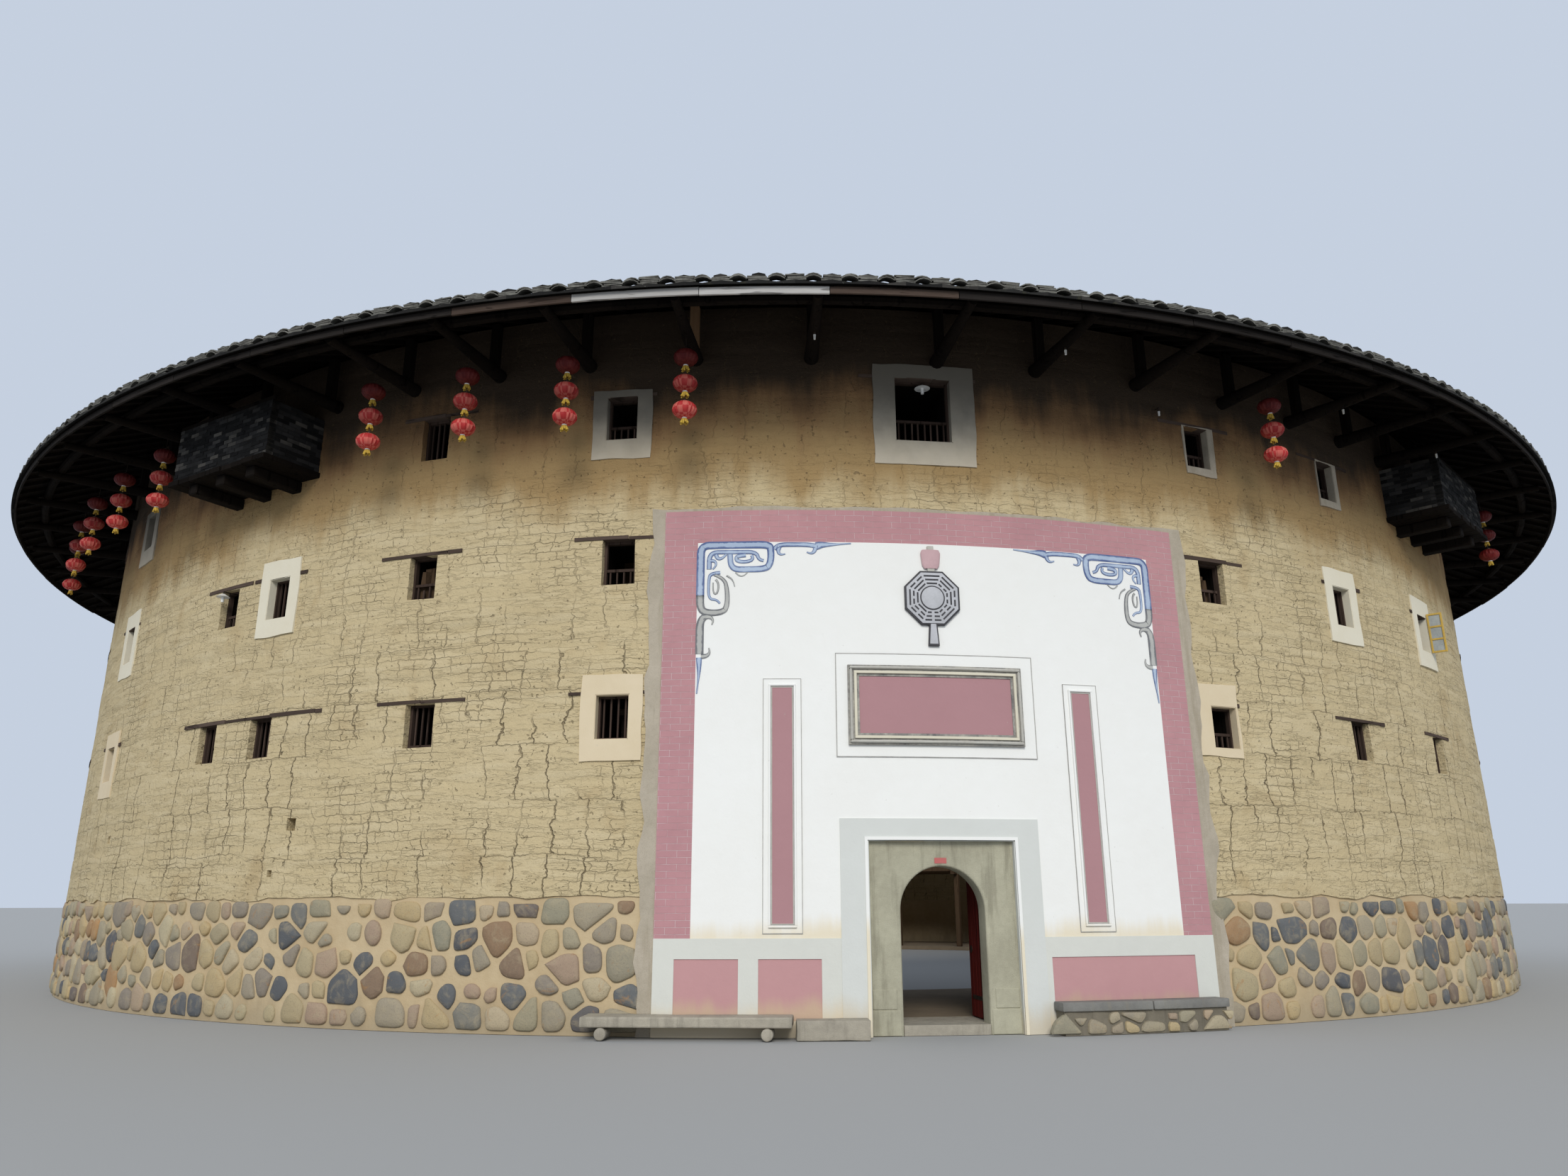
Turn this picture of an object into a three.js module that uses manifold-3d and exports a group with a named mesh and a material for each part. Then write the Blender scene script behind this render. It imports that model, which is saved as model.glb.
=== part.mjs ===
// Four-storey round earth house, as a scale model at 1:2, in millimetres with +Z up.
// The origin is on the ground at the middle of the courtyard, and the doorway faces -Y.
// An azimuth is an angle in degrees round the house from the doorway, positive towards +X.

import * as THREE from 'three';
import { mergeVertices } from 'three/addons/utils/BufferGeometryUtils.js';
import Module from 'manifold-3d';

const wasm = await Module();
wasm.setup();

// One metre of the real house, in millimetres of the model.
const metre = 500;

// Clearance between pieces that touch, and the angle that parts the ends of two arcs.
const gap = 0.3;
const jointAngle = 0.001;

// The round plan is built on straight facets, the same ones for every ring.
const facetAngle = 360 / 62;
const galleryFacetAngle = 2 * facetAngle;

// Where the rings are split into segments.
const frontSplit = 8 * facetAngle;
const backSplit = 23 * facetAngle;
const doorSplit = 2 * facetAngle;
const galleryBackSplit = 24 * facetAngle;

// Outer wall: a cobble plinth that carries a wall of rammed earth.
const wallRadius = 19.0 * metre;
const wallThickness = 1.2 * metre;
const innerRadius = wallRadius - wallThickness;
const plinthTop = 1.95 * metre;
const wallTop = 11.5 * metre;

// Storeys.
const groundFloorTop = 0.14 * metre;
const floorTops = [3.3 * metre, 5.85 * metre, 8.4 * metre];
const floorDepth = 0.2 * metre;
const floorEdgeRadius = 12.85 * metre;

// Gallery frame round the courtyard, just inside the edges of the floors.
const postOuterRadius = floorEdgeRadius - 0.05 * metre;
const postSide = 0.2 * metre;
const postInnerRadius = postOuterRadius - postSide;
const galleryBeamDepth = 0.22 * metre;
const galleryBeamReach = 0.25 * metre;
const galleryBeamLip = 0.03 * metre;

// Roof: a gable ring with its ridge over the middle of the storeys.
const eaveRadius = 21.44 * metre;
const eaveTop = 10.63 * metre;
const roofRise = Math.tan(THREE.MathUtils.degToRad(26));
const ridgeRadius = 15.8 * metre;
const innerEaveRadius = 11.2 * metre;
const roofDepth = 0.24 * metre;
const tileEdgeDepth = 0.17 * metre;
const tileRibWidth = 0.27 * metre;
const tileRibHeight = 0.1 * metre;
const tileRibFoot = 0.04 * metre;
const tileRibSetBack = 0.06 * metre;
const outerRibsPerFacet = 4;
const innerRibsPerFacet = 3;
const ridgeCapReach = 0.16 * metre;
const ridgeCapHeight = 0.2 * metre;
const fasciaDepth = 0.2 * metre;
const fasciaThickness = 0.05 * metre;
const fasciaSetBack = 0.06 * metre;
const ridgeTop = eaveTop + (eaveRadius - ridgeRadius) * roofRise;

// Eave frame: logs that reach out from the wall, with a prop beside the wall and a ring purlin.
const logSpacing = 5.45;
const frontLogs = [-32.4, -27.1, -21.9, -16.9, -11.4, -5.6, 0.8, 6.1, 12.0, 17.9, 23.3, 28.3, 33.3];
const logDepth = 0.28 * metre;
const logWidth = 0.24 * metre;
const logBottom = 10.42 * metre;
const logTipRadius = 21.15 * metre;
const logTipDepth = 0.14 * metre;
const logTipDrop = 0.07 * metre;
const purlinRadius = 20.75 * metre;
const purlinWidth = 0.16 * metre;
const purlinDepth = 0.2 * metre;
const propInnerRadius = 19.15 * metre;
const propOuterRadius = 19.3 * metre;

// Strings of three lanterns hang from some of the logs.
const lanternLogs = [-65.1, -59.6, -54.2, -48.7, -43.3, -27.1, -21.9, -16.9, -11.4, 17.9, 44.2];
const lanternHangRadius = 20.0 * metre;
const lanternHeights = [10.05 * metre, 9.6 * metre, 9.15 * metre];
const lanternRadius = 0.21 * metre;
const lanternHalfHeight = 0.14 * metre;
const lanternBand = 0.05 * metre;
const lanternWireRadius = 0.012 * metre;
const lanternTassel = 0.22 * metre;
const lanternSides = 6;

// Windows: real azimuths on the side with the doorway, and even columns round the back.
const windowRows = {
  second: { top: 4.9 * metre, height: 0.7 * metre },
  third: { top: 7.42 * metre, height: 0.76 * metre },
  fourth: { top: 9.93 * metre, height: 0.78 * metre },
};
const frontWindows = {
  second: [-53.5, -40.0, -35.4, -24.9, -15.0, 15.4, 26.0, 35.6],
  third: [-53.5, -39.7, -35.3, -25.5, -15.0, 15.7, 26.0, 36.4],
  fourth: [-53.0, -25.5, -15.1, 15.7, 26.2],
};
const windowWidth = 0.54 * metre;
const firstBackColumn = 53.5;
const backColumnSpacing = 253 / 24;
const backColumnCount = 24;
const doorWindow = { width: 0.96 * metre, top: 10.23 * metre, bottom: 9.08 * metre };

// Brick watch bays that hang on the wall under the eave.
const bayAzimuths = { left: -37.5, right: 37.5 };
const bayWidth = 2.72 * metre;
const bayReach = 20.02 * metre;
const bayBrick = 0.14 * metre;
const bayBottom = 9.32 * metre;
const bayTop = 10.36 * metre;
const bayFloorDepth = 0.1 * metre;
const bayFloorLip = 0.05 * metre;
const bracketDepth = 0.24 * metre;
const bracketWidth = 0.2 * metre;
const bracketOffset = 0.84 * metre;
const bayWindow = { width: 1.2 * metre, top: 10.2 * metre, bottom: 9.4 * metre };

// Doorway: a granite frame with a round arch, and a passage through the wall behind it.
const frameHalfWidth = 1.11 * metre;
const frameTop = 2.69 * metre;
const frameFront = 18.93 * metre;
const frameBack = 18.6 * metre;
const archHalfWidth = 0.63 * metre;
const archSpring = 1.69 * metre;
const passageHalfWidth = 0.85 * metre;
const passageTop = 2.5 * metre;

// Door leaves stand open in the passage and close behind the frame.
const hingeOffset = 0.72 * metre;
const hingeDepth = 18.53 * metre;
const leafThickness = 0.07 * metre;
const leafMeetingGap = 0.007 * metre;
const leafBottom = groundFloorTop + 0.014 * metre;
const leafTop = 2.44 * metre;
const stileRadius = 0.042 * metre;
const pinRadius = 0.03 * metre;
const stileSides = 8;

// Painted plaster front round the doorway.
const plasterRadius = wallRadius + 0.06 * metre;
const plasterLeft = -13.45;
const plasterRight = 13.85;
const plasterTop = 7.91 * metre;
const surroundAzimuth = 4.5;
const surroundTop = 3.0 * metre;
const surroundRelief = 0.025 * metre;
const plaqueAzimuth = 4.08;
const plaque = { bottom: 4.08 * metre, top: 5.3 * metre, relief: 0.08 * metre };
const panelAzimuth = 7.1;
const panelHalfAngle = 0.75;
const panel = { bottom: 1.42 * metre, top: 5.02 * metre, relief: 0.035 * metre };

// Octagonal emblem with a cup over it and a handle under it.
const emblemHeight = 6.39 * metre;
const emblemAcross = 0.88 * metre;
const emblemRelief = 0.05 * metre;
const cup = { height: 7.03 * metre, width: 0.34 * metre, depth: 0.31 * metre };
const stem = { width: 0.13 * metre, top: 7.25 * metre };
const handle = { topWidth: 0.12 * metre, bottomWidth: 0.18 * metre, bottom: 5.62 * metre };

// Stone seats against the foot of the front.
const bench = { azimuth: -11.05, reach: 19.48 * metre, length: 2.95 * metre };
const benchBottom = 0.17 * metre;
const benchTop = 0.31 * metre;
const rollerBack = 19.13 * metre;
const rollerOffsets = { left: -1.17 * metre, right: 1.13 * metre };
const rollerSides = 12;
const block = { azimuth: -5.05, reach: 19.44 * metre, length: 1.02 * metre, top: 0.26 * metre };
const cobbleSeat = { from: 4.75, to: 12.8, reach: 19.44 * metre, top: 0.44 * metre };

// Colours, roughness and metalness of the finishes.
const finishes = {
  earth: { color: 0xc8b088, roughness: 0.95 },
  cobble: { color: 0x8f8a7c, roughness: 0.9 },
  plaster: { color: 0xe9e6dc, roughness: 0.85 },
  pinkPlaster: { color: 0xc58a8a, roughness: 0.85 },
  emblemPaint: { color: 0x8d9095, roughness: 0.8 },
  granite: { color: 0xa7a59c, roughness: 0.85 },
  timber: { color: 0x4a3a2e, roughness: 0.85 },
  doorTimber: { color: 0x5a2c24, roughness: 0.7 },
  floorBoards: { color: 0x7a6047, roughness: 0.85 },
  packedEarth: { color: 0xa08e72, roughness: 0.95 },
  greyBrick: { color: 0x6d7276, roughness: 0.9 },
  roofTile: { color: 0x5f6163, roughness: 0.85 },
};

const house = new THREE.Group();
house.name = 'round_earth_house';

function addPiece(name, solid, finish) {
  const { numProp, vertProperties, triVerts } = solid.getMesh();
  const geometry = new THREE.BufferGeometry();
  geometry.setAttribute('position', new THREE.BufferAttribute(new Float32Array(vertProperties), numProp));
  geometry.setIndex(Array.from(triVerts));
  geometry.computeVertexNormals();
  const material = new THREE.MeshStandardMaterial({ ...finishes[finish], metalness: 0 });
  const mesh = new THREE.Mesh(geometry, material);
  mesh.name = name;
  house.add(mesh);
}

function toSolid(geometry) {
  const bare = geometry.clone();
  bare.deleteAttribute('normal');
  bare.deleteAttribute('uv');
  const merged = mergeVertices(bare);
  return new wasm.Manifold(new wasm.Mesh({
    numProp: 3,
    vertProperties: new Float32Array(merged.attributes.position.array),
    triVerts: new Uint32Array(merged.index.array),
  }));
}

function joined(solids) {
  return solids.reduce((whole, solid) => whole.add(solid));
}

// A closed outline of [radius, height] points, anticlockwise, swept round the house.
// A sweep of less than a full turn gets a flat end at each side.
function sweptRing(outline, from, to, step) {
  const points = outline.map(([radius, height]) => new THREE.Vector2(radius, height));
  const facetCount = Math.round((to - from) / step);
  const full = to - from > 360 - jointAngle;
  const start = THREE.MathUtils.degToRad(full ? from : from + jointAngle);
  const sweep = THREE.MathUtils.degToRad(full ? 360 : to - from - 2 * jointAngle);
  const geometry = new THREE.LatheGeometry([...points, points[0]], facetCount, start, sweep);
  if (!full) {
    const faces = Array.from(geometry.index.array);
    const lastRow = facetCount * (points.length + 1);
    for (const [a, b, c] of THREE.ShapeUtils.triangulateShape(points, [])) {
      faces.push(a, b, c);
      faces.push(lastRow + a, lastRow + c, lastRow + b);
    }
    geometry.setIndex(faces);
  }
  geometry.rotateX(Math.PI / 2);
  return toSolid(geometry);
}

function ringOutline(innerEdge, outerEdge, bottom, top) {
  return [[innerEdge, bottom], [outerEdge, bottom], [outerEdge, top], [innerEdge, top]];
}

// A box that stands square to the radius at an azimuth, shifted sideways by offset.
function radialBox(azimuth, from, to, width, bottom, top, offset = 0) {
  const geometry = new THREE.BoxGeometry(width, to - from, top - bottom);
  geometry.translate(offset, -(from + to) / 2, (bottom + top) / 2);
  geometry.rotateZ(THREE.MathUtils.degToRad(azimuth));
  return toSolid(geometry);
}

// An outline of [along, height] points, given a width across the radius at an azimuth.
function radialPrism(azimuth, outline, width) {
  const shape = new THREE.Shape(outline.map(([radius, height]) => new THREE.Vector2(radius, height)));
  const geometry = new THREE.ExtrudeGeometry(shape, { depth: width, bevelEnabled: false });
  geometry.translate(0, 0, -width / 2);
  geometry.rotateX(Math.PI / 2);
  geometry.rotateZ(THREE.MathUtils.degToRad(azimuth - 90));
  return toSolid(geometry);
}

// An outline of [x, height] points on the front, from one depth in front of the centre to another.
function frontPrism(shape, back, front) {
  const geometry = new THREE.ExtrudeGeometry(shape, { depth: front - back, bevelEnabled: false });
  geometry.rotateX(Math.PI / 2);
  geometry.translate(0, -back, 0);
  return toSolid(geometry);
}

// The wedge of space between two azimuths, used to trim rings at edges that are not on a facet.
function wedge(from, to, bottom, top) {
  const reach = 2 * wallRadius;
  const shape = new THREE.Shape();
  shape.moveTo(0, 0);
  for (const azimuth of [from, (from + to) / 2, to]) {
    const angle = THREE.MathUtils.degToRad(azimuth);
    shape.lineTo(reach * Math.sin(angle), -reach * Math.cos(angle));
  }
  const geometry = new THREE.ExtrudeGeometry(shape, { depth: top - bottom, bevelEnabled: false });
  geometry.translate(0, 0, bottom);
  return toSolid(geometry);
}

function trimmedRing(outline, from, to) {
  const heights = outline.map(([, height]) => height);
  const bottom = Math.min(...heights) - metre;
  const top = Math.max(...heights) + metre;
  const firstFacet = Math.floor(from / facetAngle) * facetAngle;
  const lastFacet = Math.ceil(to / facetAngle) * facetAngle;
  return sweptRing(outline, firstFacet, lastFacet, facetAngle).intersect(wedge(from, to, bottom, top));
}

function isBetween(azimuth, from, to) {
  return [azimuth - 360, azimuth, azimuth + 360].some((turned) => turned > from && turned < to);
}

function roofTopAt(radius) {
  return ridgeTop - Math.abs(radius - ridgeRadius) * roofRise;
}

function roofUndersideAt(radius) {
  return roofTopAt(radius) - roofDepth;
}

// Every window as an azimuth, a width and a height range.
function listWindows() {
  const windows = [];
  for (const [row, { top, height }] of Object.entries(windowRows)) {
    const columns = [...frontWindows[row]];
    for (let k = 0; k < backColumnCount; k += 1) {
      columns.push(firstBackColumn + k * backColumnSpacing);
    }
    for (const azimuth of columns) {
      windows.push({ azimuth, width: windowWidth, bottom: top - height, top });
    }
  }
  windows.push({ azimuth: 0, ...doorWindow });
  for (const azimuth of Object.values(bayAzimuths)) {
    windows.push({ azimuth, ...bayWindow });
  }
  return windows;
}

const windows = listWindows();

function windowHole({ azimuth, width, bottom, top }) {
  return radialBox(azimuth, innerRadius - metre, wallRadius + metre, width, bottom, top);
}

// The space of the granite frame and of the passage behind it.
function doorwayHole() {
  const recess = radialBox(0, frameBack, wallRadius + metre, 2 * (frameHalfWidth + gap),
    -metre, frameTop + gap);
  const passage = radialBox(0, innerRadius - metre, frameBack + gap, 2 * passageHalfWidth,
    -metre, passageTop);
  return recess.add(passage);
}

function makePlinth() {
  const outline = ringOutline(innerRadius, wallRadius, 0, plinthTop - gap);
  const doorway = doorwayHole();
  const piers = { door_pier_left: [-doorSplit, 0], door_pier_right: [0, doorSplit] };
  for (const [name, [from, to]] of Object.entries(piers)) {
    addPiece(name, sweptRing(outline, from, to, facetAngle).subtract(doorway), 'cobble');
  }
  const arcs = {
    plinth_front_left: [-frontSplit, -doorSplit],
    plinth_front_right: [doorSplit, frontSplit],
    plinth_left: [-backSplit, -frontSplit],
    plinth_right: [frontSplit, backSplit],
    plinth_back: [backSplit, 360 - backSplit],
  };
  for (const [name, [from, to]] of Object.entries(arcs)) {
    addPiece(name, sweptRing(outline, from, to, facetAngle), 'cobble');
  }
}

function makeEarthWall() {
  const outline = ringOutline(innerRadius, wallRadius, plinthTop, wallTop);
  const arcs = {
    wall_over_door: [-doorSplit, doorSplit],
    wall_front_left: [-frontSplit, -doorSplit],
    wall_front_right: [doorSplit, frontSplit],
    wall_left: [-backSplit, -frontSplit],
    wall_right: [frontSplit, backSplit],
    wall_back: [backSplit, 360 - backSplit],
  };
  for (const [name, [from, to]] of Object.entries(arcs)) {
    const holes = windows.filter(({ azimuth }) => isBetween(azimuth, from, to)).map(windowHole);
    if (name === 'wall_over_door') {
      holes.push(doorwayHole());
    }
    addPiece(name, sweptRing(outline, from, to, facetAngle).subtract(joined(holes)), 'earth');
  }
}

function makeFloors() {
  const outerEdge = innerRadius - gap;
  const ground = ringOutline(postInnerRadius - 0.1 * metre, outerEdge, 0, groundFloorTop);
  addPiece('ground_floor', sweptRing(ground, 0, 360, facetAngle), 'packedEarth');
  const names = ['second_floor', 'third_floor', 'fourth_floor'];
  names.forEach((name, storey) => {
    const top = floorTops[storey];
    const outline = ringOutline(floorEdgeRadius, outerEdge, top - floorDepth, top);
    addPiece(name, sweptRing(outline, 0, 360, facetAngle), 'floorBoards');
  });
}

// Posts and floor beams of one side of the courtyard, framed together.
function galleryFrame(from, to) {
  const members = [];
  const plateTop = roofUndersideAt(postInnerRadius - galleryBeamLip) - gap;
  const bays = Math.round((to - from) / galleryFacetAngle);
  const inset = postOuterRadius * (1 - Math.cos(THREE.MathUtils.degToRad(galleryFacetAngle / 2)));
  for (let k = 0; k < bays; k += 1) {
    members.push(radialBox(from + (k + 0.5) * galleryFacetAngle, postInnerRadius - inset,
      postOuterRadius - inset, postSide, groundFloorTop + gap, plateTop - galleryBeamDepth / 2));
  }
  const beamInnerEdge = postInnerRadius - galleryBeamLip;
  const addRing = (outerEdge, top, step) => {
    members.push(sweptRing(ringOutline(beamInnerEdge, outerEdge, top - galleryBeamDepth, top),
      from, to, step));
  };
  for (const top of floorTops) {
    addRing(postOuterRadius + galleryBeamReach, top - floorDepth - gap, galleryFacetAngle);
  }
  addRing(postOuterRadius + galleryBeamLip, plateTop, facetAngle);
  return joined(members);
}

function makeGalleries() {
  const arcs = {
    gallery_front: [-frontSplit, frontSplit],
    gallery_right: [frontSplit, galleryBackSplit],
    gallery_back: [galleryBackSplit, 360 - galleryBackSplit],
    gallery_left: [-galleryBackSplit, -frontSplit],
  };
  for (const [name, [from, to]] of Object.entries(arcs)) {
    addPiece(name, galleryFrame(from, to), 'timber');
  }
}

const sides = {
  front: [-frontSplit, frontSplit],
  right: [frontSplit, backSplit],
  back: [backSplit, 360 - backSplit],
  left: [-backSplit, -frontSplit],
};

// A line of cover tiles on a slope, between two radii. It stands on the channel tiles.
function tileRib(azimuth, near, far) {
  const sunk = tileRibHeight + tileRibFoot;
  return radialPrism(azimuth, [
    [near, roofTopAt(near) - sunk],
    [far, roofTopAt(far) - sunk],
    [far, roofTopAt(far)],
    [near, roofTopAt(near)],
  ], tileRibWidth);
}

function listTileRibs(from, to, ribsPerFacet, near, far) {
  const spacing = facetAngle / ribsPerFacet;
  const count = Math.round((to - from) / spacing);
  return Array.from({ length: count }, (_, k) => tileRib(from + (k + 0.5) * spacing, near, far));
}

function makeRoof() {
  const fasciaOuter = eaveRadius - fasciaSetBack;
  const fasciaInner = fasciaOuter - fasciaThickness;
  const tileBottom = eaveTop - tileEdgeDepth;
  const outerSlope = [
    [ridgeRadius, roofUndersideAt(ridgeRadius)],
    [fasciaInner, roofUndersideAt(fasciaInner)],
    [fasciaInner, tileBottom - fasciaDepth],
    [fasciaOuter, tileBottom - fasciaDepth],
    [fasciaOuter, tileBottom],
    [eaveRadius, tileBottom],
    [eaveRadius, eaveTop - tileRibHeight],
    [ridgeRadius + ridgeCapReach, roofTopAt(ridgeRadius + ridgeCapReach) - tileRibHeight],
    [ridgeRadius + ridgeCapReach, ridgeTop + ridgeCapHeight],
    [ridgeRadius, ridgeTop + ridgeCapHeight],
  ];
  const innerEdge = ridgeRadius - gap;
  const innerFascia = innerEaveRadius + fasciaThickness;
  const innerEaveBottom = roofUndersideAt(innerFascia) - fasciaDepth / 2;
  const innerSlope = [
    [innerEaveRadius, innerEaveBottom],
    [innerFascia, innerEaveBottom],
    [innerFascia, roofUndersideAt(innerFascia)],
    [innerEdge, roofUndersideAt(innerEdge)],
    [innerEdge, roofTopAt(innerEdge) - tileRibHeight],
    [innerEaveRadius, roofTopAt(innerEaveRadius) - tileRibHeight],
  ];
  const ridgeSide = ridgeRadius + ridgeCapReach / 2;
  const courtSide = innerEaveRadius + tileRibSetBack;
  for (const [side, [from, to]] of Object.entries(sides)) {
    addPiece(`roof_outer_${side}`, joined([
      sweptRing(outerSlope, from, to, facetAngle),
      ...listTileRibs(from, to, outerRibsPerFacet, ridgeSide, eaveRadius - tileRibSetBack),
    ]), 'roofTile');
    addPiece(`roof_inner_${side}`, joined([
      sweptRing(innerSlope, from, to, facetAngle),
      ...listTileRibs(from, to, innerRibsPerFacet, courtSide, ridgeRadius - tileRibSetBack),
    ]), 'roofTile');
  }
}

function listLogs() {
  const last = frontLogs[frontLogs.length - 1];
  const restCount = Math.round((360 - (last - frontLogs[0])) / logSpacing);
  const restSpacing = (360 - (last - frontLogs[0])) / restCount;
  const logs = [...frontLogs];
  for (let k = 1; k < restCount; k += 1) {
    logs.push(last + k * restSpacing);
  }
  return logs;
}

// A tapered log with a prop on it beside the wall, in one outline of [radius, height] points.
function eaveLog(azimuth) {
  const foot = wallRadius + gap;
  const footTop = logBottom + logDepth;
  const tipBottom = logBottom - logTipDrop;
  const tipTop = tipBottom + logTipDepth;
  const topAt = (radius) => footTop + (tipTop - footTop) * (radius - foot) / (logTipRadius - foot);
  const facetDip = wallRadius * (1 - Math.cos(THREE.MathUtils.degToRad(facetAngle / 2))) * roofRise;
  return radialPrism(azimuth, [
    [foot, logBottom],
    [logTipRadius, tipBottom],
    [logTipRadius, tipTop],
    [propOuterRadius, topAt(propOuterRadius)],
    [propOuterRadius, roofUndersideAt(propOuterRadius) - facetDip - gap],
    [propInnerRadius, roofUndersideAt(propInnerRadius) - facetDip - gap],
    [propInnerRadius, topAt(propInnerRadius)],
    [foot, footTop],
  ], logWidth);
}

// The ring purlin, whose top lies under the slope of the roof.
function purlin(from, to) {
  const innerEdge = purlinRadius - purlinWidth / 2;
  const outerEdge = purlinRadius + purlinWidth / 2;
  const top = roofUndersideAt(outerEdge) - gap;
  return sweptRing([
    [innerEdge, top - purlinDepth],
    [outerEdge, top - purlinDepth],
    [outerEdge, top],
    [innerEdge, roofUndersideAt(innerEdge) - gap],
  ], from, to, facetAngle);
}

function lanternString(azimuth) {
  const tasselBottom = Math.min(...lanternHeights) - lanternHalfHeight - lanternTassel;
  const hookTop = logBottom + logDepth / 4;
  const outline = [[0, tasselBottom], [lanternWireRadius, tasselBottom]];
  for (const height of [...lanternHeights].reverse()) {
    outline.push([lanternWireRadius, height - lanternHalfHeight]);
    outline.push([lanternRadius, height - lanternBand]);
    outline.push([lanternRadius, height + lanternBand]);
    outline.push([lanternWireRadius, height + lanternHalfHeight]);
  }
  outline.push([lanternWireRadius, hookTop], [0, hookTop]);
  const geometry = new THREE.LatheGeometry(
    outline.map(([radius, height]) => new THREE.Vector2(radius, height)), lanternSides);
  geometry.rotateX(Math.PI / 2);
  geometry.translate(0, -lanternHangRadius, 0);
  geometry.rotateZ(THREE.MathUtils.degToRad(azimuth));
  return toSolid(geometry);
}

function makeEaveFrames() {
  const logs = listLogs();
  for (const [side, [from, to]] of Object.entries(sides)) {
    const inSide = (azimuth) => isBetween(azimuth, from, to);
    const members = [
      purlin(from, to),
      ...logs.filter(inSide).map(eaveLog),
      ...lanternLogs.filter(inSide).map(lanternString),
    ];
    addPiece(`eave_frame_${side}`, joined(members), 'timber');
  }
}

function makeWatchBays() {
  const wallSpace = sweptRing(ringOutline(innerRadius, wallRadius + gap, 0, wallTop), 0, 360, facetAngle);
  const behind = wallRadius - bayBrick;
  for (const [side, azimuth] of Object.entries(bayAzimuths)) {
    const room = radialBox(azimuth, behind - metre, bayReach - bayBrick, bayWidth - 2 * bayBrick,
      bayBottom - metre, bayTop + metre);
    const walls = radialBox(azimuth, behind, bayReach, bayWidth, bayBottom, bayTop).subtract(room);
    addPiece(`bay_walls_${side}`, walls.subtract(wallSpace), 'greyBrick');
    const boardTop = bayBottom - gap;
    const bracketTop = boardTop - bayFloorDepth / 2;
    const boards = radialBox(azimuth, behind, bayReach + bayFloorLip, bayWidth + 2 * bayFloorLip,
      boardTop - bayFloorDepth, boardTop);
    const brackets = [-bracketOffset, bracketOffset].map((offset) => radialBox(azimuth, behind,
      bayReach - bayBrick, bracketWidth, boardTop - bayFloorDepth - bracketDepth, bracketTop, offset));
    addPiece(`bay_floor_${side}`, joined([boards, ...brackets]).subtract(wallSpace), 'timber');
  }
}

function makePlasterFront() {
  const slab = trimmedRing(ringOutline(wallRadius + gap, plasterRadius, 0, plasterTop),
    plasterLeft, plasterRight);
  const surround = trimmedRing(ringOutline(wallRadius + gap, plasterRadius + surroundRelief,
    0, surroundTop), -surroundAzimuth, surroundAzimuth);
  addPiece('plaster_front', slab.add(surround).subtract(doorwayHole()), 'plaster');

  const back = plasterRadius + gap;
  const plaqueOutline = ringOutline(back, plasterRadius + plaque.relief, plaque.bottom, plaque.top);
  addPiece('name_plaque', trimmedRing(plaqueOutline, -plaqueAzimuth, plaqueAzimuth), 'pinkPlaster');

  const panelOutline = ringOutline(back, plasterRadius + panel.relief, panel.bottom, panel.top);
  for (const [side, centre] of Object.entries({ left: -panelAzimuth, right: panelAzimuth })) {
    const strip = trimmedRing(panelOutline, centre - panelHalfAngle, centre + panelHalfAngle);
    addPiece(`verse_panel_${side}`, strip, 'pinkPlaster');
  }
}

function makeEmblem() {
  const back = plasterRadius + gap;
  const front = plasterRadius + emblemRelief;
  const half = emblemAcross / 2;
  const corner = half * Math.tan(Math.PI / 8);
  const octagon = new THREE.Shape([
    [half, -corner], [half, corner], [corner, half], [-corner, half],
    [-half, corner], [-half, -corner], [-corner, -half], [corner, -half],
  ].map(([x, height]) => new THREE.Vector2(x, emblemHeight + height)));
  const handleTop = emblemHeight - half + gap;
  const handleShape = new THREE.Shape([
    new THREE.Vector2(-handle.bottomWidth / 2, handle.bottom),
    new THREE.Vector2(handle.bottomWidth / 2, handle.bottom),
    new THREE.Vector2(handle.topWidth / 2, handleTop),
    new THREE.Vector2(-handle.topWidth / 2, handleTop),
  ]);
  const cupBox = radialBox(0, back, front, cup.width, cup.height - cup.depth / 2, cup.height + cup.depth / 2);
  const stemBox = radialBox(0, back, front, stem.width, emblemHeight, stem.top);
  const parts = [frontPrism(octagon, back, front), frontPrism(handleShape, back, front), cupBox, stemBox];
  addPiece('octagon_emblem', joined(parts), 'emblemPaint');
}

function makeDoorway() {
  const outline = new THREE.Shape();
  outline.moveTo(-frameHalfWidth, 0);
  outline.lineTo(-archHalfWidth, 0);
  outline.lineTo(-archHalfWidth, archSpring);
  outline.absarc(0, archSpring, archHalfWidth, Math.PI, 0, true);
  outline.lineTo(archHalfWidth, 0);
  outline.lineTo(frameHalfWidth, 0);
  outline.lineTo(frameHalfWidth, frameTop);
  outline.lineTo(-frameHalfWidth, frameTop);
  addPiece('door_frame', frontPrism(outline, frameBack + gap, frameFront), 'granite');

  const sill = radialBox(0, frameBack - gap, frameFront, 2 * (archHalfWidth - gap), 0, groundFloorTop);
  const passageFloor = radialBox(0, innerRadius + gap, frameBack, 2 * (passageHalfWidth - gap),
    0, groundFloorTop);
  addPiece('door_sill', sill.add(passageFloor), 'granite');
}

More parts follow.
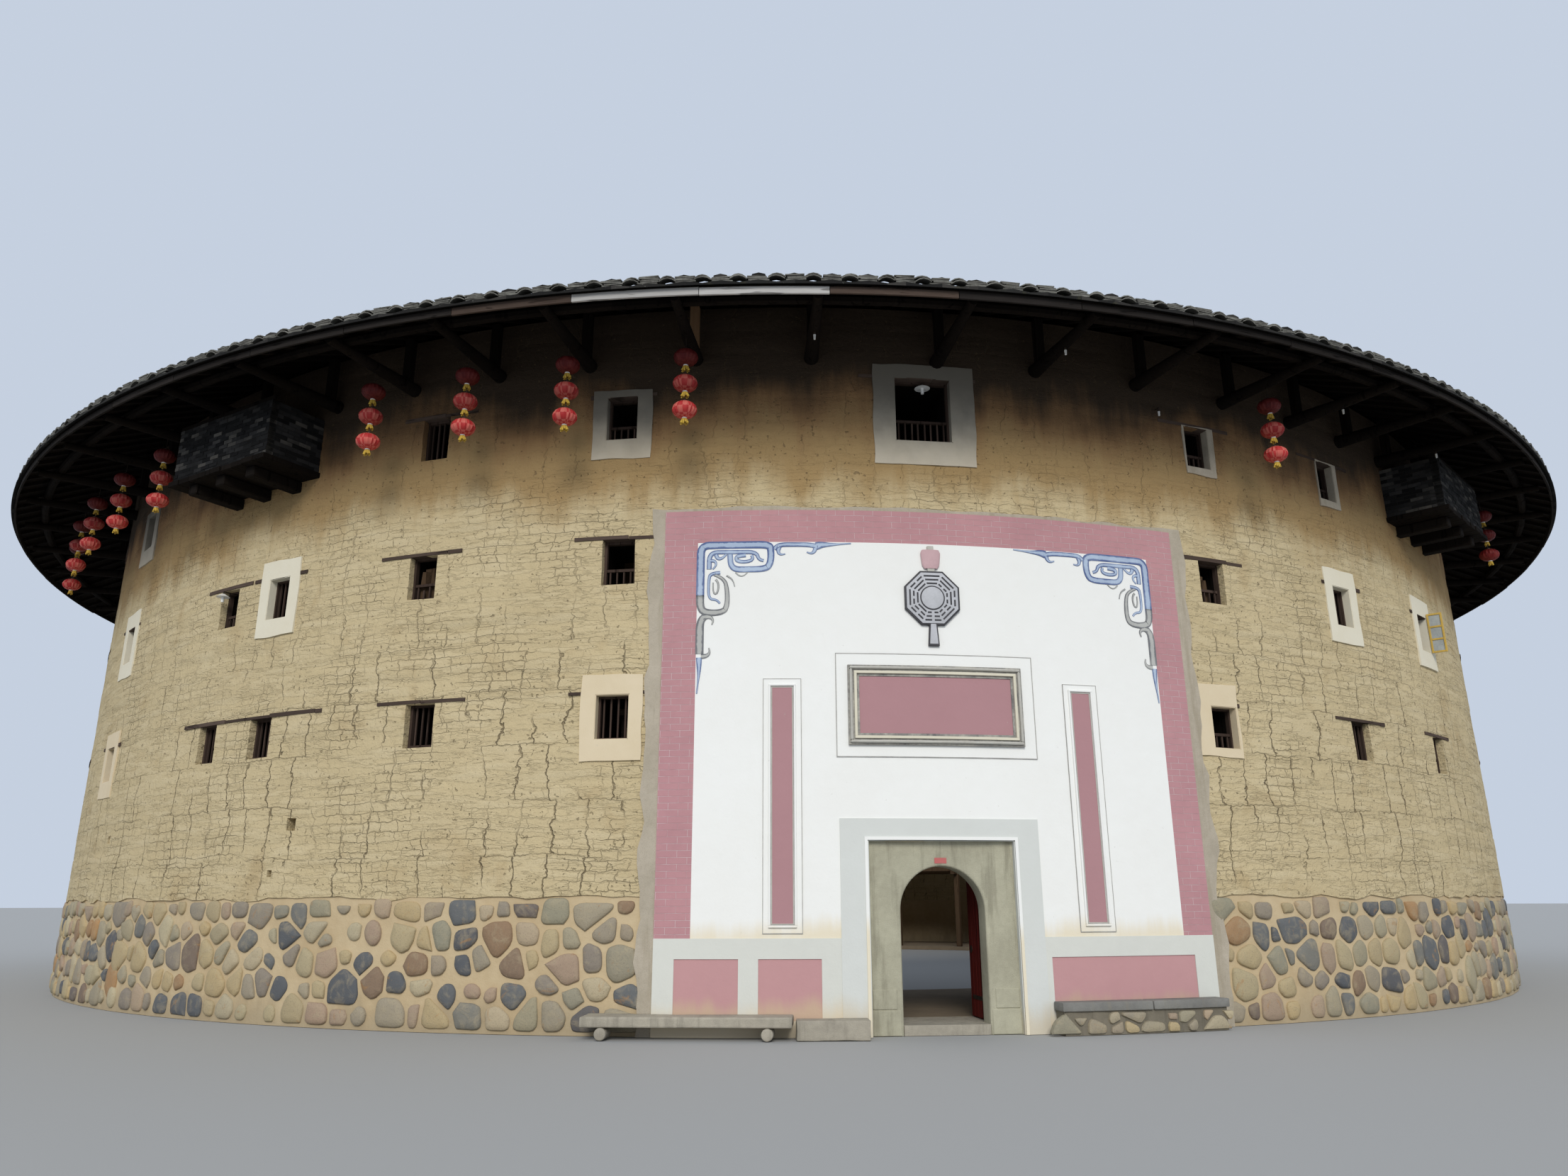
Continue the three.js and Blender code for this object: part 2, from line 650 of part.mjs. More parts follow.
// A leaf that stands open at rest, with its stile on the hinge line. Side is -1 for the left leaf.
function doorLeaf(side) {
  const stile = new THREE.CylinderGeometry(stileRadius, stileRadius, leafTop - leafBottom, stileSides);
  stile.rotateX(Math.PI / 2);
  stile.translate(side * hingeOffset, -hingeDepth, (leafTop + leafBottom) / 2);
  const pinBottom = groundFloorTop + gap;
  const pinTop = passageTop - gap;
  const pin = new THREE.CylinderGeometry(pinRadius, pinRadius, pinTop - pinBottom, stileSides);
  pin.rotateX(Math.PI / 2);
  pin.translate(side * hingeOffset, -hingeDepth, (pinTop + pinBottom) / 2);
  const leafWidth = hingeOffset - leafMeetingGap;
  const boards = radialBox(0, hingeDepth - leafWidth, hingeDepth, leafThickness,
    leafBottom, leafTop, side * hingeOffset);
  return joined([toSolid(stile), toSolid(pin), boards]);
}

function makeDoorLeaves() {
  addPiece('door_leaf_left', doorLeaf(-1), 'doorTimber');
  addPiece('door_leaf_right', doorLeaf(1), 'doorTimber');
}

// The space of the wall and its plaster, with clearance, that the backs of the seats are cut to.
function frontSpace() {
  const sideGap = 2 * jointAngle;
  const ringTo = (radius) => ringOutline(innerRadius, radius + gap, -metre, plinthTop);
  return joined([
    sweptRing(ringTo(wallRadius), -frontSplit, frontSplit, facetAngle),
    trimmedRing(ringTo(plasterRadius), plasterLeft - sideGap, plasterRight + sideGap),
    trimmedRing(ringTo(plasterRadius + surroundRelief), -surroundAzimuth - sideGap,
      surroundAzimuth + sideGap),
  ]);
}

function makeSeats() {
  const wallSpace = frontSpace();
  const slab = radialBox(bench.azimuth, frameFront, bench.reach, bench.length, benchBottom, benchTop);
  addPiece('bench_slab', slab.subtract(wallSpace), 'granite');
  const halfHeight = (benchBottom - gap) / 2;
  const rollerRadius = halfHeight / Math.cos(Math.PI / rollerSides);
  for (const [side, offset] of Object.entries(rollerOffsets)) {
    const length = bench.reach - rollerBack;
    const roller = new THREE.CylinderGeometry(rollerRadius, rollerRadius, length, rollerSides);
    roller.rotateY(Math.PI / rollerSides);
    roller.translate(offset, -(rollerBack + bench.reach) / 2, halfHeight);
    roller.rotateZ(THREE.MathUtils.degToRad(bench.azimuth));
    addPiece(`bench_roller_${side}`, toSolid(roller), 'granite');
  }
  const blockBody = radialBox(block.azimuth, frameFront, block.reach, block.length, 0, block.top);
  addPiece('granite_block', blockBody.subtract(wallSpace), 'granite');
  const seat = ringOutline(plasterRadius + gap, cobbleSeat.reach, 0, cobbleSeat.top);
  addPiece('cobble_seat', trimmedRing(seat, cobbleSeat.from, cobbleSeat.to), 'cobble');
}

makePlinth();
makeEarthWall();
makeFloors();
makeGalleries();
makeRoof();
makeEaveFrames();
makeWatchBays();
makePlasterFront();
makeEmblem();
makeDoorway();
makeDoorLeaves();
makeSeats();

export default house;
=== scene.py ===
import random
from math import atan2, copysign, cos, degrees, pi, radians, sin, tan

import bmesh
import bpy
from mathutils import Matrix, Vector, noise


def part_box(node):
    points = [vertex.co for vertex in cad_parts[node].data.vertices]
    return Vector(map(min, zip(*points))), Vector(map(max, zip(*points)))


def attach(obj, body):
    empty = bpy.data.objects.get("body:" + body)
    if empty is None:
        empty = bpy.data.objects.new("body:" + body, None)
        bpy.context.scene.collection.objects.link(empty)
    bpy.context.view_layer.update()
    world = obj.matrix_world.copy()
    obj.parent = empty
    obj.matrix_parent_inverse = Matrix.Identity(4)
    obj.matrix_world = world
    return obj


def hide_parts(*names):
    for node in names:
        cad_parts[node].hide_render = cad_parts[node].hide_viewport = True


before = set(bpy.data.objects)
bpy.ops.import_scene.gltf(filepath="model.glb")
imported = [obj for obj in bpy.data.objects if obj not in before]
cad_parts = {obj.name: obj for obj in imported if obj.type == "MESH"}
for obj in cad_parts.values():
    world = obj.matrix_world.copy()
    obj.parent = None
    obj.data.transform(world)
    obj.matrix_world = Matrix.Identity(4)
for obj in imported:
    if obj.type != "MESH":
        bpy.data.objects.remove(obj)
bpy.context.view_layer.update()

print("frame loaded:", len(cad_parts), "nodes")

# The model is at 1:2. Sizes below are metres of the real house, azimuths are degrees from the doorway.
metre = 0.5


def realBox(node):
    low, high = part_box(node)
    return low / metre, high / metre


wallRadius = realBox("wall_back")[1].y
innerRadius = realBox("ground_floor")[1].y
plinthTop, wallTop = realBox("wall_back")[0].z, realBox("wall_back")[1].z
ridgeRadius = realBox("roof_inner_back")[1].y
ridgeTop = realBox("roof_inner_back")[1].z
eaveEnd = realBox("roof_outer_right")[1].x - 0.02  # the tiles end just inside the frame's edge
innerEave = 11.2  # the edge of the roof over the courtyard
groundTop = realBox("ground_floor")[1].z
floorTops = [realBox(node)[1].z for node in ("second_floor", "third_floor", "fourth_floor")]
facet = 360 / 62  # the straight facets that the frame's rings are built on
slope = radians(26)  # of both roofs
roofRise = tan(slope)
sides = {
    "front": (-8 * facet, 8 * facet),
    "right": (8 * facet, 23 * facet),
    "back": (23 * facet, 39 * facet),
    "left": (39 * facet, 54 * facet),
}


def shift(*reach):
    return Matrix.Translation(reach)


def spin(angle, axis):
    return Matrix.Rotation(angle, 4, axis)


def polar(azimuth, radius, height):
    angle = radians(azimuth)
    return Vector((radius * sin(angle), -radius * cos(angle), height))


def along(azimuth):  # an azimuth as a length on the flat elevation of the wall
    return radians(azimuth) * wallRadius


def onWall(co, depth=0.0):  # the place in the house of a point of the flat elevation
    return polar(degrees(co.x / wallRadius), wallRadius - depth, co.z)


def roofTopAt(radius):
    return ridgeTop - abs(radius - ridgeRadius) * roofRise


def onSide(azimuth, side):
    start, end = sides[side]
    return any(start <= azimuth + turn < end for turn in (-360, 0, 360))


def addToScene(name, data):
    made = bpy.data.objects.new(name, data)
    bpy.context.scene.collection.objects.link(made)
    return made


# Camera, stage and light
shot = {"azimuth": -7.0, "distance": 35.218, "height": 1.787, "pitch": 16.34, "roll": -0.166, "lens": 24.77,
    "sensor": 36, "farthest": 2000}


def placeCamera():
    data = bpy.data.cameras.new("photoCamera")
    data.lens = shot["lens"]
    data.sensor_width = shot["sensor"]
    data.clip_end = shot["farthest"]
    camera = addToScene("photoCamera", data)
    place = Matrix.Translation(polar(shot["azimuth"], shot["distance"], shot["height"]) * metre)
    aim = spin(radians(shot["azimuth"]), "Z")
    tilt = spin(radians(90 + shot["pitch"]), "X")
    roll = spin(radians(shot["roll"]), "Z")
    camera.matrix_world = place @ aim @ tilt @ roll
    bpy.context.scene.camera = camera


light = {"sky": (0.80, 0.90, 1.06), "skyStrength": 0.70, "sun": (1.0, 0.97, 0.92), "sunStrength": 2.05,
    "sunSpread": 26, "sunHeight": 31, "sunAzimuth": -7, "floor": (0.38, 0.38, 0.37), "floorRadius": 900,
    "floorDrop": 0.003}


def lightStage():
    world = bpy.data.worlds.new("studio")
    world.use_nodes = True
    background = world.node_tree.nodes["Background"]
    background.inputs["Color"].default_value = (*light["sky"], 1)
    background.inputs["Strength"].default_value = light["skyStrength"]
    bpy.context.scene.world = world
    bpy.context.scene.view_settings.view_transform = "Standard"  # plain tones, as a daylight photo has
    data = bpy.data.lights.new("softSun", "SUN")
    data.energy = light["sunStrength"]
    data.angle = radians(light["sunSpread"])
    data.color = light["sun"]
    sun = addToScene("softSun", data)
    aim = spin(radians(light["sunAzimuth"]), "Z")
    sun.matrix_world = aim @ spin(radians(90 - light["sunHeight"]), "X")
    bm = bmesh.new()
    bmesh.ops.create_circle(bm, cap_ends=True, segments=96, radius=light["floorRadius"])
    bmesh.ops.translate(bm, vec=(0, 0, -light["floorDrop"]), verts=bm.verts)
    mesh = bpy.data.meshes.new("studioFloor")
    bm.to_mesh(mesh)
    bm.free()
    material = bpy.data.materials.new("paleFloor")
    material.use_nodes = True
    shader = material.node_tree.nodes["Principled BSDF"]
    shader.inputs["Base Color"].default_value = (*light["floor"], 1)
    shader.inputs["Roughness"].default_value = 0.9
    mesh.materials.append(material)
    addToScene("studioFloor", mesh)


placeCamera()
lightStage()
print("camera and stage set")


# Node helpers
def addNode(tree, kind, inputs=None, **settings):
    made = tree.nodes.new("ShaderNode" + kind)
    for key, value in settings.items():
        setattr(made, key, value)
    for key, value in (inputs or {}).items():
        plug(tree, made.inputs[key], value)
    return made


def plug(tree, socket, value):
    if isinstance(value, bpy.types.NodeSocket):
        tree.links.new(value, socket)
    elif socket.type == "RGBA" and len(value) == 3:
        socket.default_value = (*value, 1)
    else:
        socket.default_value = value


def blend(tree, share, first, second):
    return addNode(tree, "Mix", {0: share, 6: first, 7: second}, data_type="RGBA").outputs[2]


def calc(tree, operation, first, second=0.0, clamp=False):
    made = addNode(tree, "Math", {0: first, 1: second}, operation=operation, use_clamp=clamp)
    return made.outputs[0]


def combined(tree, operation, first, second):  # of two vectors
    return addNode(tree, "VectorMath", {0: first, 1: second}, operation=operation).outputs[0]


def stretched(tree, spot, across, up):
    return combined(tree, "MULTIPLY", spot, (across, across, up))


def product(tree, *factors):
    total = factors[0]
    for factor in factors[1:]:
        total = calc(tree, "MULTIPLY", total, factor)
    return total


def fade(tree, value, low, high, toLow=0.0, toHigh=1.0):
    reach = {"Value": value, "From Min": low, "From Max": high, "To Min": toLow, "To Max": toHigh}
    return addNode(tree, "MapRange", reach, interpolation_type="SMOOTHSTEP").outputs[0]


def fromHalf(tree, value):  # how far a value lies from 0.5
    return calc(tree, "ABSOLUTE", calc(tree, "SUBTRACT", value, 0.5))


def swing(tree, value, reach):  # a pattern about 0.5 made a push to either side of zero
    return product(tree, calc(tree, "SUBTRACT", value, 0.5), reach)


def summed(tree, total, *others):  # each of the others is a value and its weight
    for value, weight in others:
        total = calc(tree, "ADD", total, product(tree, value, weight))
    return total


def daub(tree, colour, other, mask, share):
    return blend(tree, product(tree, mask, share), colour, other)


def patch(tree, colour, other, value, low, high, share=1.0):  # sets in as a value goes from low to high
    return blend(tree, fade(tree, value, low, high, 0.0, share), colour, other)


def ramp(tree, value, stops):
    made = addNode(tree, "ValToRGB", {"Fac": value})
    elements = made.color_ramp.elements
    while len(elements) < len(stops):
        elements.new(0.5)
    for element, (place, colour) in zip(elements, stops):
        element.position = place
        element.color = (*colour, 1)
    return made.outputs[0]


def noiseAt(tree, vector, scale, detail=4.0, roughness=0.55, distortion=0.0):
    look = {"Vector": vector, "Scale": scale, "Detail": detail, "Roughness": roughness,
        "Distortion": distortion}
    return addNode(tree, "TexNoise", look).outputs[0]


def realPlace(tree):  # object coordinates in metres of the real house
    place = addNode(tree, "TexCoord").outputs["Object"]
    return combined(tree, "MULTIPLY", place, (1 / metre,) * 3)


def heightOf(tree, place):
    return addNode(tree, "SeparateXYZ", {0: place}).outputs[2]


def cover(material, colour, relief, distance, strength=1.0):
    # colour and relief go to the shader, and the finish is ready
    tree = material.node_tree
    shader = tree.nodes["Principled BSDF"]
    plug(tree, shader.inputs["Base Color"], colour)
    look = {"Height": relief, "Distance": distance * metre, "Strength": strength}
    plug(tree, shader.inputs["Normal"], addNode(tree, "Bump", look).outputs[0])
    return material


def newMaterial(name, roughness=0.9, specular=0.5, metallic=0.0):
    material = bpy.data.materials.new(name)
    material.use_nodes = True
    shader = material.node_tree.nodes["Principled BSDF"]
    for key, value in (("Roughness", roughness), ("Specular IOR Level", specular), ("Metallic", metallic)):
        shader.inputs[key].default_value = value
    return material, material.node_tree, realPlace(material.node_tree)


def newGroup(name, inputs, outputs):
    # an input with a plain number is a value, any other a vector
    group = bpy.data.node_groups.new(name, "ShaderNodeTree")
    for label, value in inputs.items():
        kind = "NodeSocketFloat" if isinstance(value, float) else "NodeSocketVector"
        group.interface.new_socket(name=label, in_out="INPUT", socket_type=kind).default_value = value
    for label in outputs:
        group.interface.new_socket(name=label, in_out="OUTPUT", socket_type="NodeSocketFloat")
    return group, group.nodes.new("NodeGroupInput").outputs, group.nodes.new("NodeGroupOutput").inputs


def place(tree, group, **inputs):
    made = addNode(tree, "Group", node_tree=group)
    for key, value in inputs.items():
        plug(tree, made.inputs[key], value)
    return made.outputs


# Effects that several finishes share
def makeRunStains():
    # stains that run down a wall from a height, broken up sideways
    group, start, end = newGroup("runStains", {"Place": (0, 0, 0), "Top": 10.0, "Reach": 2.0, "Width": 1.0},
        ["Mask"])
    thin = stretched(group, start["Place"], 1.0, 0.12)
    runs = noiseAt(group, thin, calc(group, "DIVIDE", 1.6, start["Width"]), 5.0, 0.6)
    height = heightOf(group, start["Place"])
    fallen = calc(group, "DIVIDE", calc(group, "SUBTRACT", start["Top"], height), start["Reach"])
    fallen = calc(group, "ADD", fallen, swing(group, runs, 2.4))
    group.links.new(fade(group, fallen, 0.0, 1.0, 1.0, 0.0), end["Mask"])
    return group


def makeMottle():
    # soft blotches at two sizes
    group, start, end = newGroup("mottle", {"Place": (0, 0, 0), "Scale": 1.0, "Contrast": 1.0}, ["Mask"])
    large = noiseAt(group, start["Place"], start["Scale"], 3.0)
    small = noiseAt(group, start["Place"], product(group, start["Scale"], 7.3), 4.0)
    both = summed(group, product(group, large, 0.65), (small, 0.35))
    pushed = swing(group, both, product(group, start["Contrast"], 3.2))
    group.links.new(calc(group, "ADD", pushed, 0.5, clamp=True), end["Mask"])
    return group


def makeGrain():
    # wood grain that runs along one axis of the place it is given
    group, start, end = newGroup("grain", {"Place": (0, 0, 0), "Stretch": (8.0, 8.0, 0.6), "Tone": 0.5},
        ["Mask", "Cracks"])
    offset = combined(group, "MULTIPLY", start["Tone"], (37.0, 91.0, 0.0))
    long = combined(group, "MULTIPLY", combined(group, "ADD", start["Place"], offset), start["Stretch"])
    group.links.new(noiseAt(group, long, 2.2, 6.0, 0.65, 0.4), end["Mask"])
    group.links.new(fade(group, noiseAt(group, long, 0.9, 3.0, 0.5, 1.2), 0.60, 0.68), end["Cracks"])
    return group


runStains = makeRunStains()
mottle = makeMottle()
grain = makeGrain()


def toneOf(tree):  # a number from 0 to 1 that each stone, brick or board has of its own
    return addNode(tree, "Attribute", attribute_name="tone").outputs["Fac"]


def blotches(tree, spot, scale, contrast=1.0):
    return place(tree, mottle, Place=spot, Scale=scale, Contrast=contrast)["Mask"]


def climb(tree, spot, top, reach, width):  # damp that climbs from the foot of a wall
    upward = stretched(tree, spot, 1, -1)
    return place(tree, runStains, Place=upward, Top=top, Reach=reach, Width=width)["Mask"]


def flatOf(tree):  # the wall's flat elevation, in metres of the real house
    return addNode(tree, "UVMap", uv_map="flat").outputs[0]


# Finishes
earthLook = {"pale": (0.58, 0.475, 0.285), "deep": (0.52, 0.42, 0.245), "dust": (0.62, 0.525, 0.34),
    "ochre": (0.355, 0.24, 0.11), "damp": (0.245, 0.13, 0.06), "sootAndShade": (0.042, 0.031, 0.022),
    "crack": (0.13, 0.092, 0.05), "grit": (0.34, 0.265, 0.15),
    "small": (0.33, 0.152, 0.0105), "large": (0.54, 0.83, 0.017),  # cracks: length, height and width
    # stains under the eave, partly painted shade of the eave: colour, heights where it starts and is full,
    # share
    "eaveStainsAndShade": (("ochre", 7.7, 8.65, 1.0), ("damp", 8.8, 9.8, 0.85), ("sootAndShade", 9.35, 10.3, 0.96))}


def wander(tree, spot, scale, reach):
    # a small vector that drifts about zero along the wall
    look = {"Vector": spot, "Scale": scale, "Detail": 2.0}
    drift = addNode(tree, "TexNoise", look).outputs["Color"]
    return combined(tree, "MULTIPLY", combined(tree, "SUBTRACT", drift, (0.5, 0.5, 0.5)), reach)


def crackedCourses(tree, flat, length, height, width):
    # upright cracks, set off anew in each course, and the lines between the courses
    along, up = addNode(tree, "SeparateXYZ", {0: flat}).outputs[:2]
    level = calc(tree, "DIVIDE", up, height)
    start = addNode(tree, "TexWhiteNoise", {"W": calc(tree, "FLOOR", level)},
        noise_dimensions="1D").outputs["Value"]
    run = calc(tree, "ADD", calc(tree, "DIVIDE", along, length), start)
    masks = []
    for share, pitch in ((run, length), (level, height)):
        edge = fromHalf(tree, calc(tree, "FRACT", share))
        masks.append(fade(tree, edge, 0.5 - width / pitch, 0.5 - width * 0.15 / pitch))
    return masks


def makeEarthFinish():
    material, tree, spot = newMaterial("rammedEarth", 0.95, specular=0.15)
    high = heightOf(tree, spot)
    drift = combined(tree, "ADD", wander(tree, spot, 1.4, (0.42, 0.12, 0)),
        wander(tree, spot, 8.0, (0.18, 0.085, 0)))
    bent = combined(tree, "ADD", flatOf(tree), drift)
    smallUpright, smallLevel = crackedCourses(tree, bent, *earthLook["small"])
    tallUpright, tallLevel = crackedCourses(tree, bent, *earthLook["large"])
    # small cracks come and go all over, tall ones open in the lower wall
    often = fade(tree, noiseAt(tree, spot, 0.8, 4.0, 0.6), 0.42, 0.64)
    rare = fade(tree, noiseAt(tree, stretched(tree, spot, 1.0, 0.6), 1.3, 3.0), 0.40, 0.58)
    middle = fade(tree, high, 7.4, 9.4, 1.0, 0.3)
    lower = fade(tree, high, 4.6, 7.4, 1.0, 0.3)
    small = calc(tree, "MAXIMUM", smallUpright, product(tree, smallLevel, 0.85))
    tall = calc(tree, "MAXIMUM", tallUpright, product(tree, tallLevel, 0.4))
    cracks = calc(tree, "MAXIMUM", product(tree, small, often, middle, 0.48),
        product(tree, tall, rare, lower, 0.95))
    colour = blend(tree, blotches(tree, spot, 0.45, 0.9), earthLook["pale"], earthLook["deep"])
    bands = noiseAt(tree, stretched(tree, spot, 1.1, 8.0), 1.0, 4.0, 0.6)
    colour = patch(tree, colour, earthLook["dust"], bands, 0.45, 0.7, 0.45)
    ledges = fade(tree, fromHalf(tree, bands), 0.0, 0.012, 0.14, 0.0)
    cracks = calc(tree, "MAXIMUM", cracks, product(tree, ledges, middle))
    colour = patch(tree, colour, earthLook["ochre"], noiseAt(tree, spot, 0.7, 4.0, 0.6, 0.6), 0.56, 0.72, 0.35)
    grit = noiseAt(tree, spot, 34.0, 3.0, 0.7)
    colour = patch(tree, colour, earthLook["grit"], grit, 0.54, 0.75, 0.4)
    pits = fade(tree, noiseAt(tree, spot, 15.0, 2.0, 0.5), 0.675, 0.72)
    # rain and smoke stains, with painted shade of the eave, darken the wall under the eave, in soft runs
    streaks = noiseAt(tree, stretched(tree, spot, 1.7, 0.22), 1.0, 5.0, 0.62)
    clouds = noiseAt(tree, spot, 0.55, 3.0)
    uneven = calc(tree, "ADD", swing(tree, streaks, 1.5), swing(tree, clouds, 1.6))
    stainAndShadeLevel = calc(tree, "ADD", high, uneven)
    for tone, low, top, share in earthLook["eaveStainsAndShade"]:
        colour = patch(tree, colour, earthLook[tone], stainAndShadeLevel, low, top, share)
    colour = daub(tree, colour, earthLook["crack"], pits, 0.5)
    colour = daub(tree, colour, earthLook["crack"], cracks, 0.8)
    relief = summed(tree, product(tree, bands, 0.5), (grit, 0.35), (noiseAt(tree, spot, 11.0, 3.0), 0.6),
        (cracks, -1.1), (pits, -0.5))
    return cover(material, colour, relief, 0.035, 0.9)


def makeMortarFinish():
    material, tree, spot = newMaterial("yellowMortar", 0.92, specular=0.2)
    colour = blend(tree, blotches(tree, spot, 0.9), (0.57, 0.455, 0.285), (0.48, 0.365, 0.215))
    colour = daub(tree, colour, (0.26, 0.215, 0.145), climb(tree, spot, -0.05, 0.5, 0.8), 0.5)
    relief = summed(tree, noiseAt(tree, spot, 6.0), (noiseAt(tree, spot, 40.0), 0.3))
    return cover(material, colour, relief, 0.012)


stoneTones = [(0.0, (0.39, 0.33, 0.205)), (0.14, (0.46, 0.345, 0.18)), (0.27, (0.27, 0.255, 0.185)),
    (0.4, (0.36, 0.255, 0.18)), (0.52, (0.46, 0.395, 0.255)), (0.63, (0.24, 0.205, 0.165)),
    (0.75, (0.37, 0.325, 0.215)), (0.85, (0.135, 0.14, 0.14)), (0.93, (0.095, 0.10, 0.108)),
    (1.0, (0.40, 0.235, 0.105))]


def makeCobbleFinish():
    material, tree, spot = newMaterial("riverCobble", 0.8, specular=0.3)
    tone = toneOf(tree)
    colour = ramp(tree, tone, stoneTones)
    shifted = combined(tree, "ADD", spot, tone)
    cloud = noiseAt(tree, shifted, 5.0, 5.0, 0.65, 0.8)
    colour = patch(tree, colour, (0.40, 0.33, 0.21), cloud, 0.45, 0.7, 0.4)
    rust = noiseAt(tree, shifted, 3.1, 4.0, 0.6, 1.5)
    colour = patch(tree, colour, (0.36, 0.20, 0.08), rust, 0.62, 0.72, 0.55)
    speck = noiseAt(tree, spot, 55.0, 2.0)
    colour = patch(tree, colour, (0.10, 0.09, 0.075), speck, 0.5, 0.75, 0.3)
    return cover(material, colour, summed(tree, cloud, (speck, 0.3)), 0.012)


def makeLime(name, colour, shade, stain=(0.4, 0.3, 0.2), stainTop=0.0, stainReach=0.3):
    # limewash with faint blotches, a stain that climbs from the foot up to stainTop, and smoke stains with
    # painted shade of the eave under the eave
    material, tree, spot = newMaterial(name, 0.88, specular=0.25)
    made = daub(tree, colour, shade, blotches(tree, spot, 0.7), 0.4)
    damp = climb(tree, spot, stainReach - stainTop, stainReach, 1.1)
    made = daub(tree, made, stain, damp, 0.75)
    made = patch(tree, made, (0.45, 0.42, 0.36), noiseAt(tree, spot, 14.0, 3.0, 0.7), 0.70, 0.76, 0.35)
    # smoke stains and painted shade of the eave darken the lime from 9 m up
    smokeAndShade = summed(tree, heightOf(tree, spot), (noiseAt(tree, spot, 1.6), 1.2))
    made = patch(tree, made, (0.13, 0.12, 0.10), smokeAndShade, 9.0, 10.8, 0.9)
    relief = summed(tree, noiseAt(tree, spot, 2.5, 3.0), (noiseAt(tree, spot, 30.0), 0.2))
    return cover(material, made, relief, 0.01, 0.8)


pinkBrick = {"length": 0.30, "height": 0.098, "joint": 0.004}


def makePinkFinish():
    material, tree, spot = newMaterial("pinkBrickPaint", 0.85, specular=0.25)
    colour = blend(tree, blotches(tree, spot, 1.1), (0.50, 0.262, 0.275), (0.445, 0.232, 0.245))
    joints = addNode(tree, "TexBrick",
        {"Vector": flatOf(tree), "Scale": 1.0, "Mortar Size": pinkBrick["joint"],
            "Mortar Smooth": 0.2, "Brick Width": pinkBrick["length"],
            "Row Height": pinkBrick["height"]}, offset=0.5).outputs["Fac"]
    worn = fade(tree, noiseAt(tree, spot, 3.0), 0.35, 0.6, 0.25, 0.9)
    colour = daub(tree, colour, (0.66, 0.50, 0.50), joints, worn)
    colour = daub(tree, colour, (0.52, 0.40, 0.26), climb(tree, spot, -0.15, 0.45, 0.5), 0.7)
    relief = calc(tree, "SUBTRACT", product(tree, noiseAt(tree, spot, 9.0), 0.4), joints)
    return cover(material, colour, relief, 0.006)


def makePaint(name, dark, pale):
    # brushed paint: two darker lines with a thin wash between them
    material, tree, spot = newMaterial(name, 0.8)
    across = addNode(tree, "SeparateXYZ", {0: flatOf(tree)}).outputs[1]
    brushed = noiseAt(tree, spot, 7.0, 5.0, 0.7)
    edge = calc(tree, "ADD", fromHalf(tree, across), swing(tree, brushed, 0.5))
    wash = fade(tree, edge, 0.2, 0.36, 1.0, 0.0)
    faint = fade(tree, noiseAt(tree, spot, 2.1, 3.0), 0.45, 0.7, 0.0, 0.45)
    share = calc(tree, "ADD", product(tree, wash, 0.85), faint, clamp=True)
    return cover(material, blend(tree, share, dark, pale), brushed, 0.002)


def makeStone(name, pale, dark, run):
    # dressed stone or cement with rain streaks
    material, tree, spot = newMaterial(name, 0.85, specular=0.3)
    colour = blend(tree, blotches(tree, spot, 1.6, 1.1), pale, dark)
    streaks = noiseAt(tree, stretched(tree, spot, 5.0, 0.5), 1.0, 5.0, 0.65)
    colour = patch(tree, colour, run, streaks, 0.5, 0.68, 0.55)
    speck = noiseAt(tree, spot, 70.0, 2.0, 0.8)
    colour = patch(tree, colour, (0.20, 0.19, 0.16), speck, 0.5, 0.8, 0.4)
    relief = summed(tree, speck, (noiseAt(tree, spot, 11.0), 0.8))
    return cover(material, colour, relief, 0.006)


def makeTimber(name, dark, pale, stretch=(8.0, 8.0, 0.6), roughness=0.85):
    material, tree, spot = newMaterial(name, roughness, specular=0.05)
    tone = toneOf(tree)
    fibres = place(tree, grain, Place=spot, Stretch=stretch, Tone=tone)
    colour = blend(tree, fibres["Mask"], dark, pale)
    colour = daub(tree, colour, tuple(c * 0.45 for c in dark), tone, 0.55)
    colour = daub(tree, colour, tuple(c * 0.25 for c in dark), fibres["Cracks"], 0.7)
    relief = calc(tree, "SUBTRACT", fibres["Mask"], fibres["Cracks"])
    return cover(material, colour, relief, 0.008)


def makeTileFinish():
    material, tree, spot = newMaterial("greyTile", 0.88, specular=0.12)
    # the tiles' weathered grey, made near black with painted shade of the backlit eave edge
    colour = ramp(tree, toneOf(tree), [(0.0, (0.012, 0.012, 0.012)), (0.35, (0.020, 0.020, 0.019)),
            (0.7, (0.034, 0.032, 0.030)), (1.0, (0.060, 0.056, 0.050))])
    colour = daub(tree, colour, (0.022, 0.020, 0.017), blotches(tree, spot, 0.5), 0.45)
    moss, lichen = noiseAt(tree, spot, 4.5, 5.0, 0.7), noiseAt(tree, spot, 21.0, 3.0, 0.7)
    colour = patch(tree, colour, (0.045, 0.044, 0.026), moss, 0.56, 0.68, 0.55)
    colour = patch(tree, colour, (0.13, 0.125, 0.11), lichen, 0.66, 0.72, 0.6)
    return cover(material, colour, noiseAt(tree, spot, 26.0), 0.008)


def makeBrickFinish():
    material, tree, spot = newMaterial("greyBrick", 0.88, specular=0.12)
    # the bricks' own grey, darkened to near black by painted shade of the eave
    colour = ramp(tree, toneOf(tree), [(0.0, (0.008, 0.008, 0.0085)), (0.5, (0.019, 0.019, 0.0195)),
            (0.85, (0.048, 0.047, 0.047)), (1.0, (0.13, 0.12, 0.105))])
    colour = daub(tree, colour, (0.008, 0.0075, 0.007), blotches(tree, spot, 1.5, 1.2), 0.6)
    return cover(material, colour, noiseAt(tree, spot, 35.0), 0.006)


